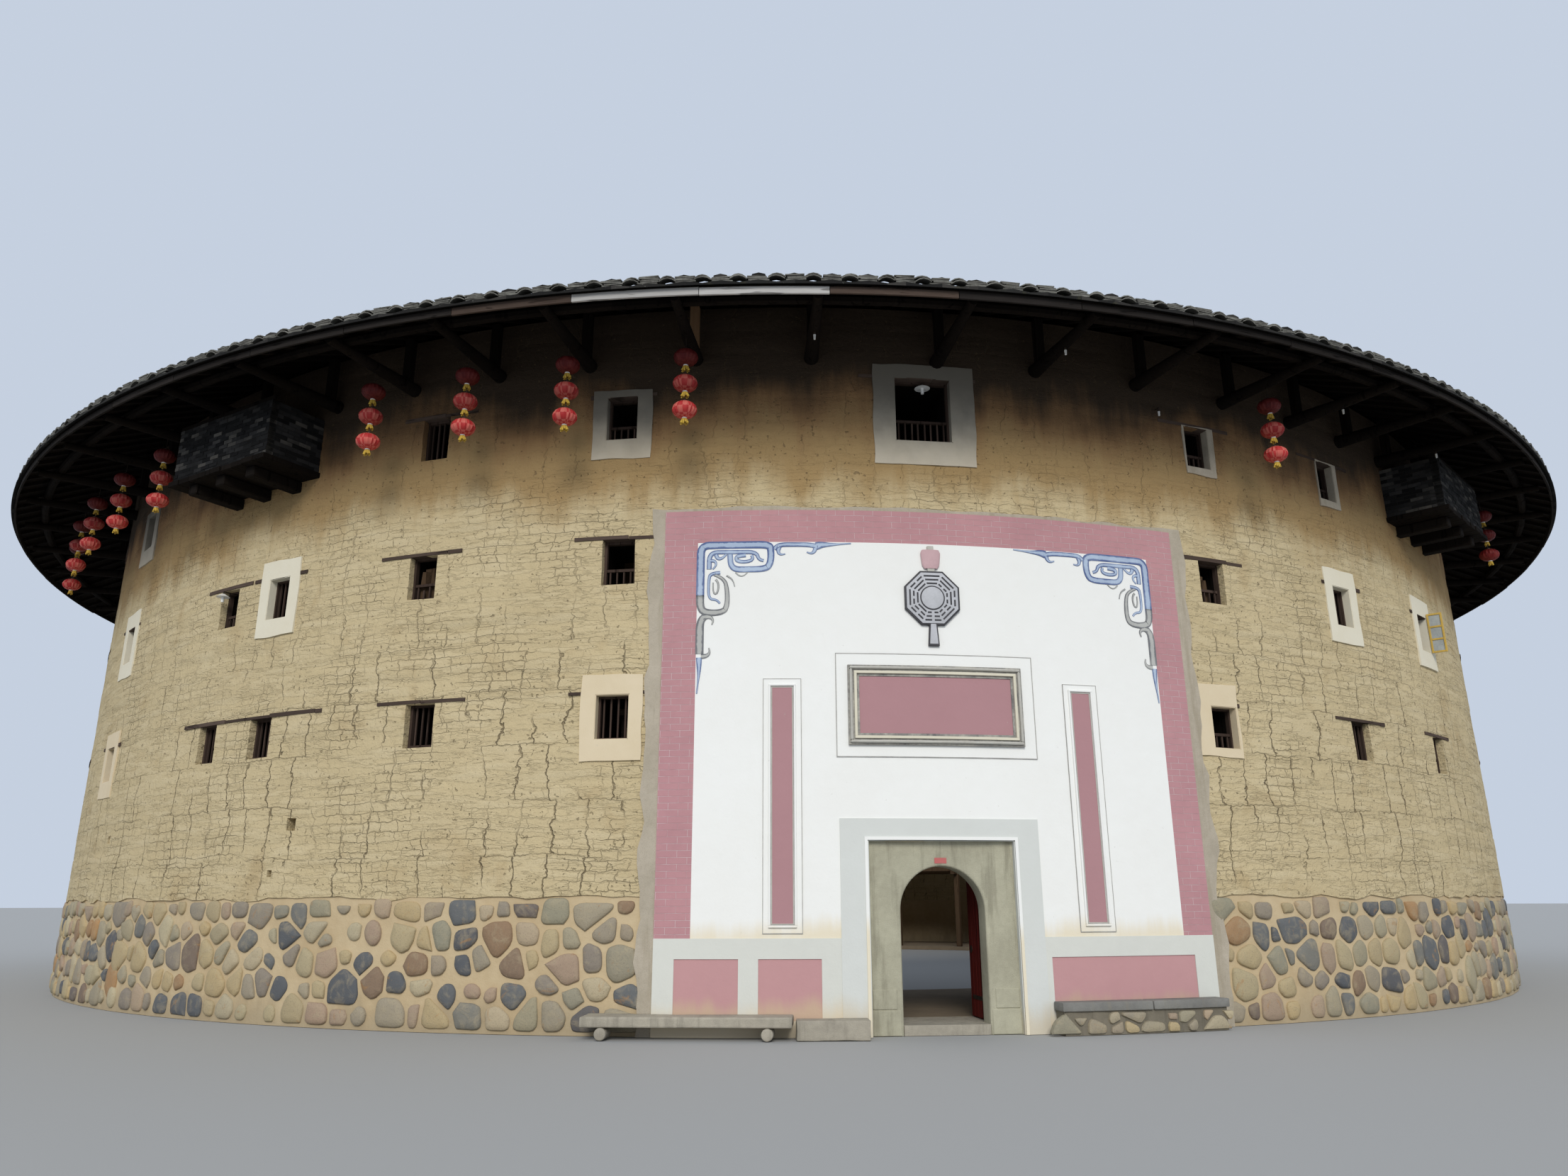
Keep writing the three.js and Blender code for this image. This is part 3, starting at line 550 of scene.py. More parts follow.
def makeLantern(name, bright, deep, pale):
    material, tree, spot = newMaterial(name, 0.5, specular=0.15)
    colour = blend(tree, blotches(tree, spot, 2.5), bright, deep)
    # every other panel is paler: a painted highlight of the sheen on the gauze's ribs
    colour = daub(tree, colour, pale, toneOf(tree), 0.35)
    # painted shade of the eave darkens the gauze from 9.2 m up
    colour = patch(tree, colour, (0.03, 0.008, 0.008), heightOf(tree, spot), 9.2, 9.6, 0.5)
    return cover(material, colour, noiseAt(tree, spot, 120.0, 2.0), 0.003)


def makePlain(name, colour, worn, roughness, scale=6.0, **constants):
    material, tree, spot = newMaterial(name, roughness, **constants)
    share = blotches(tree, spot, scale)
    return cover(material, blend(tree, share, colour, worn), noiseAt(tree, spot, scale * 6, 3.0), 0.003)


earthFinish = makeEarthFinish()
mortarFinish = makeMortarFinish()
cobbleFinish = makeCobbleFinish()
whiteFinish = makeLime("whiteLime", (0.845, 0.845, 0.81), (0.79, 0.78, 0.73), (0.74, 0.64, 0.44),
    stainTop=1.6, stainReach=0.35)
creamLime = makeLime("creamLime", (0.70, 0.59, 0.415), (0.58, 0.47, 0.29))
# a greyer lime for the window surrounds under the eave: smoke with painted shade of the eave
greyLime = makeLime("smokedAndShadedLime", (0.54, 0.485, 0.385), (0.40, 0.335, 0.235))
windowWhite = makeLime("windowWhite", (0.735, 0.69, 0.555), (0.65, 0.575, 0.42))
dadoFinish = makeLime("greyLime", (0.655, 0.66, 0.60), (0.575, 0.575, 0.53), (0.66, 0.54, 0.36),
    stainTop=0.5, stainReach=0.42)
doorLimeFinish = makeLime("paleGreyLime", (0.645, 0.66, 0.625), (0.58, 0.59, 0.55), (0.60, 0.52, 0.38),
    stainTop=0.5, stainReach=0.42)
cementFinish = makeStone("oldCement", (0.48, 0.42, 0.33), (0.39, 0.34, 0.26), (0.32, 0.27, 0.19))
pinkFinish = makePinkFinish()
plainPinkFinish = makeLime("pinkLime", (0.52, 0.29, 0.29), (0.46, 0.25, 0.255), (0.56, 0.43, 0.28),
    stainTop=0.55)
bluePaint = makePaint("bluePaint", (0.085, 0.125, 0.27), (0.42, 0.51, 0.64))
greyPaint = makePaint("greyBrushPaint", (0.15, 0.155, 0.165), (0.47, 0.47, 0.44))
plaquePink = makeLime("plaquePink", (0.42, 0.232, 0.243), (0.375, 0.205, 0.215))
creamFinish = makeLime("creamMoulding", (0.70, 0.66, 0.53), (0.56, 0.51, 0.38))
# dark grey lines round the plaque, worn paler in blotches: painted shadow of its mouldings
shadowLineMoulding = makePlain("greyShadowMoulding", (0.13, 0.125, 0.125), (0.46, 0.44, 0.38), 0.8, 3.0)
cupFinish = makePlain("cupPink", (0.56, 0.375, 0.385), (0.50, 0.33, 0.34), 0.8, 4.0)
emblemDark = makePlain("inkPaint", (0.022, 0.022, 0.026), (0.055, 0.053, 0.058), 0.7)
emblemPale = makePlain("greyGround", (0.52, 0.525, 0.55), (0.44, 0.445, 0.46), 0.75)
bandPale = makePlain("bandPlaster", (0.52, 0.51, 0.46), (0.42, 0.40, 0.35), 0.85, 3.0)
# thin grey lines along raised edges: painted shadow of the edges
shadowLineFinish = makePlain("paintedShadowLine", (0.30, 0.29, 0.27), (0.44, 0.43, 0.40), 0.85, 5.0)
frameStone = makeStone("archStone", (0.46, 0.44, 0.325), (0.36, 0.34, 0.25), (0.20, 0.185, 0.13))
graniteFinish = makeStone("granite", (0.43, 0.39, 0.31), (0.31, 0.28, 0.225), (0.22, 0.20, 0.16))
gapFinish = makeStone("dryJoint", (0.20, 0.175, 0.13), (0.13, 0.115, 0.085), (0.09, 0.08, 0.06))
slateFinish = makeStone("blueSlab", (0.235, 0.23, 0.21), (0.165, 0.162, 0.15), (0.23, 0.21, 0.165))
# near-black timber under the eave: soot with painted shade, darker than sooty wood alone
sootAndShadeTimber = makeTimber("sootyShadedTimber", (0.007, 0.0055, 0.0045), (0.017, 0.013, 0.0105))
windowTimber = makeTimber("windowTimber", (0.060, 0.042, 0.034), (0.145, 0.105, 0.082), (1.2, 1.2, 9.0))
barTimber = makeTimber("barTimber", (0.040, 0.027, 0.021), (0.10, 0.068, 0.054))
fasciaTimber = makeTimber("weatheredBoard", (0.36, 0.345, 0.325), (0.60, 0.585, 0.56), (1.0, 1.0, 9.0))
darkFascia = makeTimber("sootyBoard", (0.012, 0.010, 0.009), (0.038, 0.033, 0.030), (1.0, 1.0, 9.0))
propTimber = makeTimber("cleanProp", (0.22, 0.12, 0.06), (0.36, 0.22, 0.12))
galleryTimber = makeTimber("galleryTimber", (0.060, 0.036, 0.021), (0.135, 0.088, 0.052))
boardTimber = makeTimber("floorBoard", (0.12, 0.080, 0.048), (0.21, 0.145, 0.09), (3.0, 3.0, 3.0))
doorPaint = makeTimber("redDoorPaint", (0.10, 0.012, 0.010), (0.17, 0.026, 0.020), roughness=0.6)
tileFinish = makeTileFinish()
stackTile = makePlain("weatheredTile", (0.23, 0.225, 0.20), (0.085, 0.082, 0.071), 0.9, 5.0, specular=0.12)
brickFinish = makeBrickFinish()
jointFinish = makePlain("brickJoint", (0.036, 0.034, 0.030), (0.018, 0.017, 0.016), 0.9, specular=0.12)
lanternFinish = makeLantern("redGauze", (0.52, 0.046, 0.043), (0.35, 0.024, 0.026), (0.82, 0.29, 0.22))
# a darker red gauze: painted shade of the eave for the top lantern of each string, and the faded string at 44.2
shadedFadedLantern = makeLantern("shadedFadedGauze", (0.17, 0.013, 0.013), (0.09, 0.008, 0.008), (0.28, 0.05, 0.04))
tasselFinish = makePlain("yellowFringe", (0.62, 0.43, 0.05), (0.45, 0.28, 0.04), 0.8, 20.0)
ironFinish = makePlain("blackIron", (0.035, 0.033, 0.032), (0.09, 0.06, 0.04), 0.55, 12.0, metallic=0.8)
lampFinish = makePlain("lampWhite", (0.82, 0.82, 0.80), (0.70, 0.70, 0.66), 0.4)
yellowFinish = makePlain("yellowFrame", (0.64, 0.42, 0.07), (0.50, 0.33, 0.07), 0.5)
paneFinish = makePlain("dustyGlass", (0.42, 0.44, 0.42), (0.30, 0.32, 0.31), 0.25)
redPaper = makePlain("redPaper", (0.52, 0.10, 0.10), (0.44, 0.15, 0.13), 0.8)
beatenEarth = makePlain("beatenEarth", (0.22, 0.17, 0.11), (0.165, 0.125, 0.08), 0.95, 0.8)
print("finishes ready")


# Mesh helpers. Flat pieces are drawn on the wall's elevation: x along the wall, y into it, z up.
def addPiece(bm, name, materials, nodes=(), body="house", crease=35):
    bmesh.ops.recalc_face_normals(bm, faces=bm.faces)
    bmesh.ops.scale(bm, vec=(metre, metre, metre), verts=bm.verts)
    mesh = bpy.data.meshes.new(name)
    bm.to_mesh(mesh)
    bm.free()
    for material in materials if isinstance(materials, (list, tuple)) else [materials]:
        mesh.materials.append(material)
    mesh.shade_smooth()
    mesh.set_sharp_from_angle(angle=radians(crease))
    piece = addToScene(name, mesh)
    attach(piece, body)
    if nodes:
        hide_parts(*nodes)
    return piece


def newMesh():
    bm = bmesh.new()
    bm.faces.layers.float.new("tone")
    bm.loops.layers.uv.new("flat")
    return bm


def facesOf(verts):
    return {face for vert in verts for face in vert.link_faces}


def tint(bm, verts, tone, slot=0):
    layer = bm.faces.layers.float["tone"]
    for face in facesOf(verts):
        face[layer] = tone
        face.material_index = slot


def vertsOf(made):
    return [item for item in made if isinstance(item, bmesh.types.BMVert)]


def merge(bm, part, tone=None, slot=0):  # adds a finished part to a larger mesh
    if tone is not None:
        tint(part, part.verts, tone, slot)
    mesh = bpy.data.meshes.new("part")
    part.to_mesh(mesh)
    part.free()
    bm.from_mesh(mesh)
    bpy.data.meshes.remove(mesh)


def sharpEdges(bm, angle=1.0):
    return [edge for edge in bm.edges if edge.calc_face_angle(0) > angle]


def ease(bm, edges, offset, segments=2):
    return bmesh.ops.bevel(bm, geom=edges, offset=offset, segments=segments, profile=0.5, affect="EDGES",
        clamp_overlap=segments > 1, material=-1)["verts"]


def settle(bm, verts, where, tone, slot):
    if where:
        bmesh.ops.transform(bm, matrix=where, verts=verts)
    tint(bm, verts, tone, slot)


def addBox(bm, low, high, bevel=0.0, where=None, tone=0.5, slot=0):
    verts = bmesh.ops.create_cube(bm, size=1.0)["verts"]
    bmesh.ops.scale(bm, vec=[b - a for a, b in zip(low, high)], verts=verts)
    bmesh.ops.translate(bm, vec=[(a + b) / 2 for a, b in zip(low, high)], verts=verts)
    if bevel:
        verts = ease(bm, list({edge for vert in verts for edge in vert.link_edges}), bevel, 1)
    settle(bm, verts, where, tone, slot)


def addRod(bm, start, end, radius, endRadius=None, sides=12, where=None, tone=0.5, slot=0):
    start, end = Vector(start), Vector(end)
    axis = end - start
    matrix = Matrix.Translation((start + end) / 2) @ axis.to_track_quat("Z", "Y").to_matrix().to_4x4()
    verts = bmesh.ops.create_cone(bm, cap_ends=True, segments=sides, radius1=radius,
        radius2=radius if endRadius is None else endRadius, depth=axis.length, matrix=matrix)["verts"]
    settle(bm, verts, where, tone, slot)


def capEnds(part):
    bmesh.ops.holes_fill(part, edges=[edge for edge in part.edges if edge.is_boundary], sides=0)


def addRing(bm, outline, start=0.0, end=360.0, steps=248, tone=0.5, slot=0):
    # a closed outline of (radius, height) points, swept round the house
    part = newMesh()
    verts = [part.verts.new(polar(start, radius, height)) for radius, height in outline]
    edges = [part.edges.new((verts[i - 1], verts[i])) for i in range(len(verts))]
    full = end - start > 359.9
    bmesh.ops.spin(part, geom=verts + edges, cent=(0, 0, 0), axis=(0, 0, 1), dvec=(0, 0, 0),
        angle=radians(end - start), steps=steps, use_merge=full, use_duplicate=False)
    if not full:
        capEnds(part)
    merge(bm, part, tone, slot)


def ringSteps(start, end, perFacet):  # so that a ring turns where the frame's facets meet
    return round((end - start) / facet) * perFacet


def spread(start, end, pitch):  # even azimuths, about one pitch apart
    count = round((end - start) / pitch)
    return [start + (k + 0.5) * (end - start) / count for k in range(count)]


def turned(azimuth, x=0.0, y=0.0, z=0.0):  # from the front of the house round to an azimuth
    return spin(radians(azimuth), "Z") @ shift(x, y, z)


def flatSheet(left, right, bottom, top, step, rows=None):
    bm = newMesh()
    columns = max(1, round((right - left) / step))
    rows = rows or max(1, round((top - bottom) / step))
    matrix = (shift((left + right) / 2, 0, (bottom + top) / 2)
        @ spin(pi / 2, "X")
        @ Matrix.Diagonal((right - left, top - bottom, 1, 1)))
    bmesh.ops.create_grid(bm, x_segments=columns, y_segments=rows, size=0.5, matrix=matrix)
    return bm


def cutHole(bm, left, right, bottom, top):
    margin = 0.02
    faces = [face for face in bm.faces
        if min(vert.co.x for vert in face.verts) < right + margin
        and max(vert.co.x for vert in face.verts) > left - margin
        and min(vert.co.z for vert in face.verts) < top + margin
        and max(vert.co.z for vert in face.verts) > bottom - margin]
    geom = list({part for face in faces for part in (face, *face.edges, *face.verts)})
    for place, normal in (((left, 0, 0), (1, 0, 0)), ((right, 0, 0), (1, 0, 0)),
            ((0, 0, bottom), (0, 0, 1)), ((0, 0, top), (0, 0, 1))):
        geom = bmesh.ops.bisect_plane(bm, geom=geom, dist=1e-5, plane_co=place, plane_no=normal)["geom"]
    inside = [part for part in geom if isinstance(part, bmesh.types.BMFace)
        and left < part.calc_center_median().x < right and bottom < part.calc_center_median().z < top]
    bmesh.ops.delete(bm, geom=inside, context="FACES")


def thicken(bm, front, back):
    # the sheet goes to the front and a joined copy of it to the back
    bmesh.ops.translate(bm, vec=(0, front, 0), verts=bm.verts)
    made = bmesh.ops.extrude_face_region(bm, geom=bm.faces[:], use_keep_orig=True)["geom"]
    bmesh.ops.translate(bm, vec=(0, back - front, 0), verts=vertsOf(made))


def mapFlat(bm):
    layer = bm.loops.layers.uv["flat"]
    for face in bm.faces:
        for loop in face.loops:
            loop[layer].uv = (loop.vert.co.x, loop.vert.co.z)


def bend(bm):
    for vert in bm.verts:
        vert.co = onWall(vert.co, vert.co.y)


def hang(bm, part, tone=0.5, slot=0):  # bends a part drawn on the elevation round the wall
    mapFlat(part)
    bend(part)
    merge(bm, part, tone, slot)


def addPlate(bm, left, right, bottom, top, front, back, bevel=0.0, tone=0.5, slot=0, step=0.5, hole=None):
    # a plate on the wall, bent with it
    part = flatSheet(left, right, bottom, top, step, rows=1)
    if hole:
        cutHole(part, *hole)
    thicken(part, front, back)
    if bevel:
        ease(part, sharpEdges(part), bevel, 1)
    hang(bm, part, tone, slot)


# Windows of each storey: azimuth and style on the doorway side, even columns round the back.
windowRows = {"second": (4.2, 4.9), "third": (6.66, 7.42), "fourth": (9.15, 9.93)}
windowWidth = 0.54
frontWindows = {
    "second": {-53.5: "limeBars", -40.0: "pair", -35.4: "paired", -24.9: "bars", -15.0: "limeBars",
        15.4: "limeHalf", 26.0: "bars", 35.6: "bars"},
    "third": {-53.5: "lime", -39.7: "lamp", -35.3: "lime", -25.5: "shutter", -15.0: "rail",
        15.7: "shutter", 26.0: "lime", 36.4: "casement"},
    "fourth": {-53.0: "limeRail", -25.5: "bare", -15.1: "limeRail", 15.7: "limeCorner", 26.2: "limeCorner"},
}
backColumns = [53.5 + k * 253 / 24 for k in range(24)]  # 24 columns over 253 degrees
backStyles = ("bars", "rail", "lime", "bars", "shutter", "rail")
doorWindow = {"width": 0.96, "bottom": 9.08, "top": 10.23}
bayAzimuths = {"left": -37.5, "right": 37.5}
bayWindow = {"width": 1.2, "bottom": 9.4, "top": 10.2}


def listWindows():
    windows = []
    for row, (bottom, top) in windowRows.items():
        styles = dict(frontWindows[row])
        for k, azimuth in enumerate(backColumns):
            if azimuth not in styles:
                styles[azimuth] = backStyles[(k * 5 + len(row)) % 6]
        for azimuth, style in styles.items():
            windows.append({"azimuth": azimuth, "width": windowWidth, "bottom": bottom, "top": top,
                    "style": style})
    windows.append({"azimuth": 0.0, **doorWindow, "style": "balustrade"})
    for azimuth in bayAzimuths.values():
        windows.append({"azimuth": azimuth, **bayWindow, "style": "open"})
    return windows


windows = listWindows()
pockets = [(-50.85, 3.02, 0.13), (-33.3, 2.28, 0.11), (-32.2, 3.08, 0.2)]  # holes: azimuth, height, size
pocketPlug = (0.7, 1.19)  # the depths between which a hole is closed
doorRecess = {"half": 1.1106, "top": 2.6906, "front": 18.93, "back": 18.6}
doorHole = (-doorRecess["half"], doorRecess["half"], -1.0, doorRecess["top"])

earth = {"lift": 0.415, "lip": 0.035, "groove": 0.010, "swell": 0.022, "ripple": 0.007, "board": 1.87,
    "shift": 0.006, "drift": 0.045, "wobble": 0.012, "lap": (0.02, 0.13), "column": 0.22}


def cutWindows(bm, start, end):
    holes = [(w["azimuth"], w["width"] / 2, w["bottom"], w["top"]) for w in windows]
    holes += [(azimuth, size / 2, height - size / 2, height + size / 2) for azimuth, height, size in pockets]
    for azimuth, half, bottom, top in holes:
        for turn in (-360, 0, 360):
            if start < azimuth + turn < end:
                middle = along(azimuth + turn)
                cutHole(bm, middle - half, middle + half, bottom, top)


def makeEarthWall(side, nodes):
    start, end = sides[side]
    lifts = round((wallTop - plinthTop) / earth["lift"])
    lift = (wallTop - plinthTop) / lifts
    bm = flatSheet(along(start), along(end), plinthTop, wallTop, earth["column"], 4 * lifts)
    for vert in bm.verts:  # rows: the joint of two lifts, a lip on each side of it, the middle
        row = round((vert.co.z - plinthTop) / lift * 4)
        offset = (0, earth["lip"], lift / 2, lift - earth["lip"])[row % 4]
        vert.co.z = plinthTop + lift * (row // 4) + offset
    cutWindows(bm, start, end)
    if side == "front":
        cutHole(bm, *doorHole)
    thicken(bm, 0.0, wallRadius - innerRadius)
    mapFlat(bm)
    for vert in bm.verts:
        if vert.co.y > 0.01:
            continue
        spot = onWall(vert.co)
        level = (vert.co.z - plinthTop) / lift
        swell = noise.noise(spot * 0.4) * earth["swell"] + noise.noise(spot * 2.3) * earth["ripple"]
        length = (degrees(vert.co.x / wallRadius) % 360) / 360 * 2 * pi * wallRadius
        board = ((length / earth["board"] + 0.5 * (int(level) % 2)) // 1, level // 1, 0)
        depth = abs(swell) + noise.cell(Vector(board)) * earth["shift"]
        if abs(level - round(level)) * lift < 0.002 and 0.5 < level < lifts - 0.5:
            depth += earth["groove"] * max(0.0, 0.5 + 1.4 * noise.noise(spot * 0.9))
        vert.co.y += depth
        if 0.2 < level < lifts - 0.2:
            vert.co.z += noise.noise(spot * 0.8 + Vector((7, 3, 1))) * earth["drift"]
        vert.co.x += noise.noise(spot * 3.1 + Vector((1, 9, 4))) * earth["wobble"]
        if level < 0.01:  # the earth laps unevenly over the top of the plinth
            least, more = earth["lap"]
            vert.co.z -= least + abs(noise.noise(spot * 1.9)) * more
    tint(bm, bm.verts, 0.5)
    bend(bm)
    near, far = pocketPlug
    for azimuth, height, size in pockets:
        if onSide(azimuth, side):
            addBox(bm, (-size / 2, near, height - size / 2), (size / 2, far, height + size / 2), bevel=0.01,
                where=turned(azimuth, 0, -wallRadius))
    addPiece(bm, f"earthWall_{side}", earthFinish, nodes, crease=50)


makeEarthWall("front", ["wall_front_left", "wall_over_door", "wall_front_right"])
for side in ("right", "back", "left"):
    makeEarthWall(side, [f"wall_{side}"])
print("earth walls built")


cobbles = {"spacing": 0.43, "rows": 5, "jitter": 0.34, "joint": 0.064, "bulge": 0.045, "set": 0.05,
    "disc": 0.62, "corners": 9, "flattest": 0.72, "uneven": 0.11, "near": 2.4, "least": 0.012,
    "sizes": (0.55, 0.75, 0.95, 1.15, 1.4), "rounding": 20, "bed": 0.03, "trowelled": 0.016,
    "plastered": (-13.3, 13.7)}


def cutStone(seeds, index, rng, spacing, joint, low, high):
    # one stone: a rough disc cut back from its neighbours, its corners rounded
    (x, z), size = seeds[index]
    centre = Vector((x, 0, z))
    part = newMesh()
    disc = (Matrix.Translation(centre) @ spin(rng.uniform(0, pi), "Y")
        @ Matrix.Diagonal((1.0, 1.0, rng.uniform(cobbles["flattest"], 1.0), 1))
        @ spin(pi / 2, "X"))
    bmesh.ops.create_circle(part, cap_ends=True, segments=cobbles["corners"],
        radius=spacing * cobbles["disc"] * size, matrix=disc)
    top = high - joint / 2 - rng.uniform(0, cobbles["uneven"])
    cuts = [((x, 0, low + joint / 2), (0, 0, -1)), ((x, 0, top), (0, 0, 1))]
    for other, (spot, otherSize) in enumerate(seeds):
        away = Vector((spot[0] - x, 0, spot[1] - z))
        if other != index and away.length < spacing * cobbles["near"]:
            share = size / (size + otherSize)
            direction = away.normalized()
            cuts.append((centre + away * share - direction * joint / 2, direction))
    for point, direction in cuts:
        geom = part.verts[:] + part.edges[:] + part.faces[:]
        bmesh.ops.bisect_plane(part, geom=geom, dist=1e-4, plane_co=point, plane_no=direction, clear_outer=True)
    if len(part.faces) != 1 or part.faces[:][0].calc_area() < cobbles["least"]:
        part.free()
        return None
    bmesh.ops.dissolve_limit(part, angle_limit=0.12, verts=part.verts[:], edges=part.edges[:])
    for _ in range(2):
        bmesh.ops.bevel(part, geom=part.verts[:], offset=cobbles["rounding"], offset_type="PERCENT", segments=1,
            profile=0.5, affect="VERTICES", clamp_overlap=True, material=-1)
        bmesh.ops.dissolve_limit(part, angle_limit=0.1, verts=part.verts[:], edges=part.edges[:])
    return part


def crownStone(part, bulge, sink):
    # a skirt that runs into the mortar, a rounded shoulder and a low crown, each a smaller copy of the outline
    centre = part.faces[:][0].calc_center_median()
    bmesh.ops.translate(part, vec=(0, sink, 0), verts=part.verts[:])
    edges = part.edges[:]
    for scale, rise in ((1.0, sink + bulge * 0.2), (0.9, bulge * 0.5), (0.55, bulge * 0.3)):
        made = bmesh.ops.extrude_edge_only(part, edges=edges)["geom"]
        ring = vertsOf(made)
        edges = [item for item in made if isinstance(item, bmesh.types.BMEdge)]
        bmesh.ops.translate(part, vec=(0, -rise, 0), verts=ring)
        bmesh.ops.scale(part, vec=(scale, 1, scale), space=Matrix.Translation(-centre), verts=ring)
    bmesh.ops.edgeloop_fill(part, edges=edges)


def scatterSeeds(left, right, bottom, top, spacing, rows, rng):
    seeds = []
    height = (top - bottom) / rows
    for row in range(rows):
        count = round((right - left) / spacing * rng.uniform(0.92, 1.08))
        for k in range(count):
            x = left + (k + 0.5 + 0.5 * (row % 2) - 0.25) * (right - left) / count
            z = bottom + (row + 0.5) * height
            x += rng.uniform(-1, 1) * cobbles["jitter"] * spacing
            z += rng.uniform(-1, 1) * cobbles["jitter"] * height * (0.8 if 0 < row < rows - 1 else 0.4)
            seeds.append(((x, z), rng.choice(cobbles["sizes"])))
    return seeds


def makeStones(left, right, bottom, top, spacing, rows, seed, outward, joint=None, bulge=None):
    rng = random.Random(seed)
    bm = newMesh()
    seeds = scatterSeeds(left, right, bottom, top, spacing, rows, rng)
    seeds.sort()
    reach = rows * 9  # no neighbour is further off in the sorted list
    for index in range(len(seeds)):
        low = max(0, index - reach)
        near = seeds[low:index + reach]
        part = cutStone(near, index - low, rng, spacing, joint or cobbles["joint"], bottom, top)
        if not part:
            continue
        crownStone(part, (bulge or cobbles["bulge"]) * rng.uniform(0.7, 1.15), cobbles["set"])
        bmesh.ops.translate(part, vec=(0, outward, 0), verts=part.verts[:])
        merge(bm, part, rng.random())
    return bm


def makePlinth(side, nodes):
    start, end = sides[side]
    bm = flatSheet(along(start), along(end), 0.0, plinthTop, 0.25, 8)
    spans = [(start, end)]
    if side == "front":  # the stones stop where the plaster covers the plinth
        cutHole(bm, *doorHole)
        spans = [(start, cobbles["plastered"][0]), (cobbles["plastered"][1], end)]
    thicken(bm, 0.0, wallRadius - innerRadius)
    mapFlat(bm)
    for vert in bm.verts:
        if vert.co.y < 0.01:
            vert.co.y += cobbles["bed"] + noise.noise(onWall(vert.co) * 1.7) * cobbles["trowelled"]
    tint(bm, bm.verts, 0.5)
    bend(bm)
    addPiece(bm, f"plinthMortar_{side}", mortarFinish, nodes)
    stones = newMesh()
    for number, (low, high) in enumerate(spans):
        part = makeStones(along(low) + 0.03, along(high) - 0.03, 0.02, plinthTop - 0.02, cobbles["spacing"],
            cobbles["rows"], f"{side}{number}", 0.02)
        merge(stones, part)
    bend(stones)
    addPiece(stones, f"plinthCobbles_{side}", cobbleFinish, crease=60)


makePlinth("front", ["plinth_front_left", "door_pier_left", "door_pier_right", "plinth_front_right"])
for side in ("right", "back", "left"):
    makePlinth(side, [f"plinth_{side}"])
print("plinth built")


roof = {"outerRows": 4, "innerRows": 3, "exposure": 0.2, "tileWidth": 0.27, "tileRise": 0.085, "step": 0.028,
    "inset": 0.03, "sway": 0.012, "seat": 0.007, "foot": 0.05, "bed": 0.01, "panDrop": 0.10, "panBed": 0.02,
    "valley": 0.035, "deckDrop": 0.155, "board": 0.03, "rafterWidth": 0.09, "rafterDepth": 0.07,
    "rafterPitch": 1.45}
# loose tiles over the eave: width and rise of each kind
stack = {"flat": (0.30, 0.0), "crowned": (0.27, 0.05), "layers": (3, 4, 4, 5), "length": 0.24, "tile": 0.017,
    "lift": 0.028, "back": 0.14, "sink": 0.04, "turn": 0.07, "tilt": 0.05}
ridge = {"gap": 0.1, "pitch": 1.45, "reach": 0.8, "rise": 0.06, "radii": (0.13, 0.11),
    "bed": ((-0.15, -0.12), (0.15, -0.12), (0.13, 0.03), (-0.13, 0.03))}


def coursesOf(low, high):
    return round(abs(high - low) / cos(slope) / roof["exposure"])


def addCoverRow(bm, azimuth, low, high, rng):
    # one line of lapped cover tiles from its eave up to the ridge: a closed tube with a step at each lap
    courses = coursesOf(low, high)
    part = newMesh()
    bmesh.ops.create_grid(part, x_segments=5, y_segments=2 * courses - 1, size=0.5)
    sway, seat = roof["sway"], roof["seat"]
    shifts = [(rng.uniform(-sway, sway), rng.uniform(-seat, seat)) for _ in range(courses)]
    for vert in part.verts:
        column = round((vert.co.x + 0.5) * 5) % 5
        row = round((vert.co.y + 0.5) * (2 * courses - 1))
        course = row // 2
        radius = low + (high - low) * (course + row % 2) / courses
        angle = pi * column / 4
        sideways, lift = shifts[course]
        x = -cos(angle) * roof["tileWidth"] / 2 + sideways
        z = roofTopAt(radius) - roof["panDrop"] + roof["bed"] + sin(angle) * roof["tileRise"]
        z += (1 - row % 2) * roof["step"] + lift - (roof["foot"] if column % 4 == 0 else 0)
        vert.co = (x, -radius, z)
    bmesh.ops.remove_doubles(part, verts=part.verts, dist=1e-5)
    capEnds(part)
    layer = part.faces.layers.float["tone"]
    tones = [rng.random() for _ in range(courses)]
    for face in part.faces:
        share = (-face.calc_center_median().y - low) / (high - low)
        face[layer] = tones[min(courses - 1, max(0, int(share * courses)))]
    bmesh.ops.transform(part, matrix=turned(azimuth), verts=part.verts)
    merge(bm, part)


def addPans(bm, start, end, low, high, rowsPerFacet):
    # the channel tiles between the cover rows, lapped like them
    courses = coursesOf(low, high)
    outline = []
    for course in range(courses):
        for share, step in ((course, roof["step"]), (course + 1, 0.0)):
            radius = low + (high - low) * share / courses
            outline.append((radius, roofTopAt(radius) - roof["panDrop"] + step - roof["panBed"]))
    outline += [(radius, roofTopAt(radius) - roof["deckDrop"]) for radius in (high, low)]
    part = newMesh()
    addRing(part, outline, start, end, steps=ringSteps(start, end, 2 * rowsPerFacet))
    pitch = facet / rowsPerFacet
    for vert in part.verts:
        azimuth = degrees(atan2(vert.co.x, -vert.co.y))
        phase = abs(sin(pi * (azimuth - start) / pitch))
        if vert.co.z > roofTopAt(vert.co.xy.length) - roof["deckDrop"] + 0.01:
            vert.co.z -= (1 - phase) * roof["valley"]
    layer = part.faces.layers.float["tone"]
    for face in part.faces:
        spot = face.calc_center_median()
        tile = (round(atan2(spot.x, -spot.y) * 190), round(spot.z * 10), 3)
        face[layer] = 0.15 + 0.75 * noise.cell(Vector(tile))
    merge(bm, part)


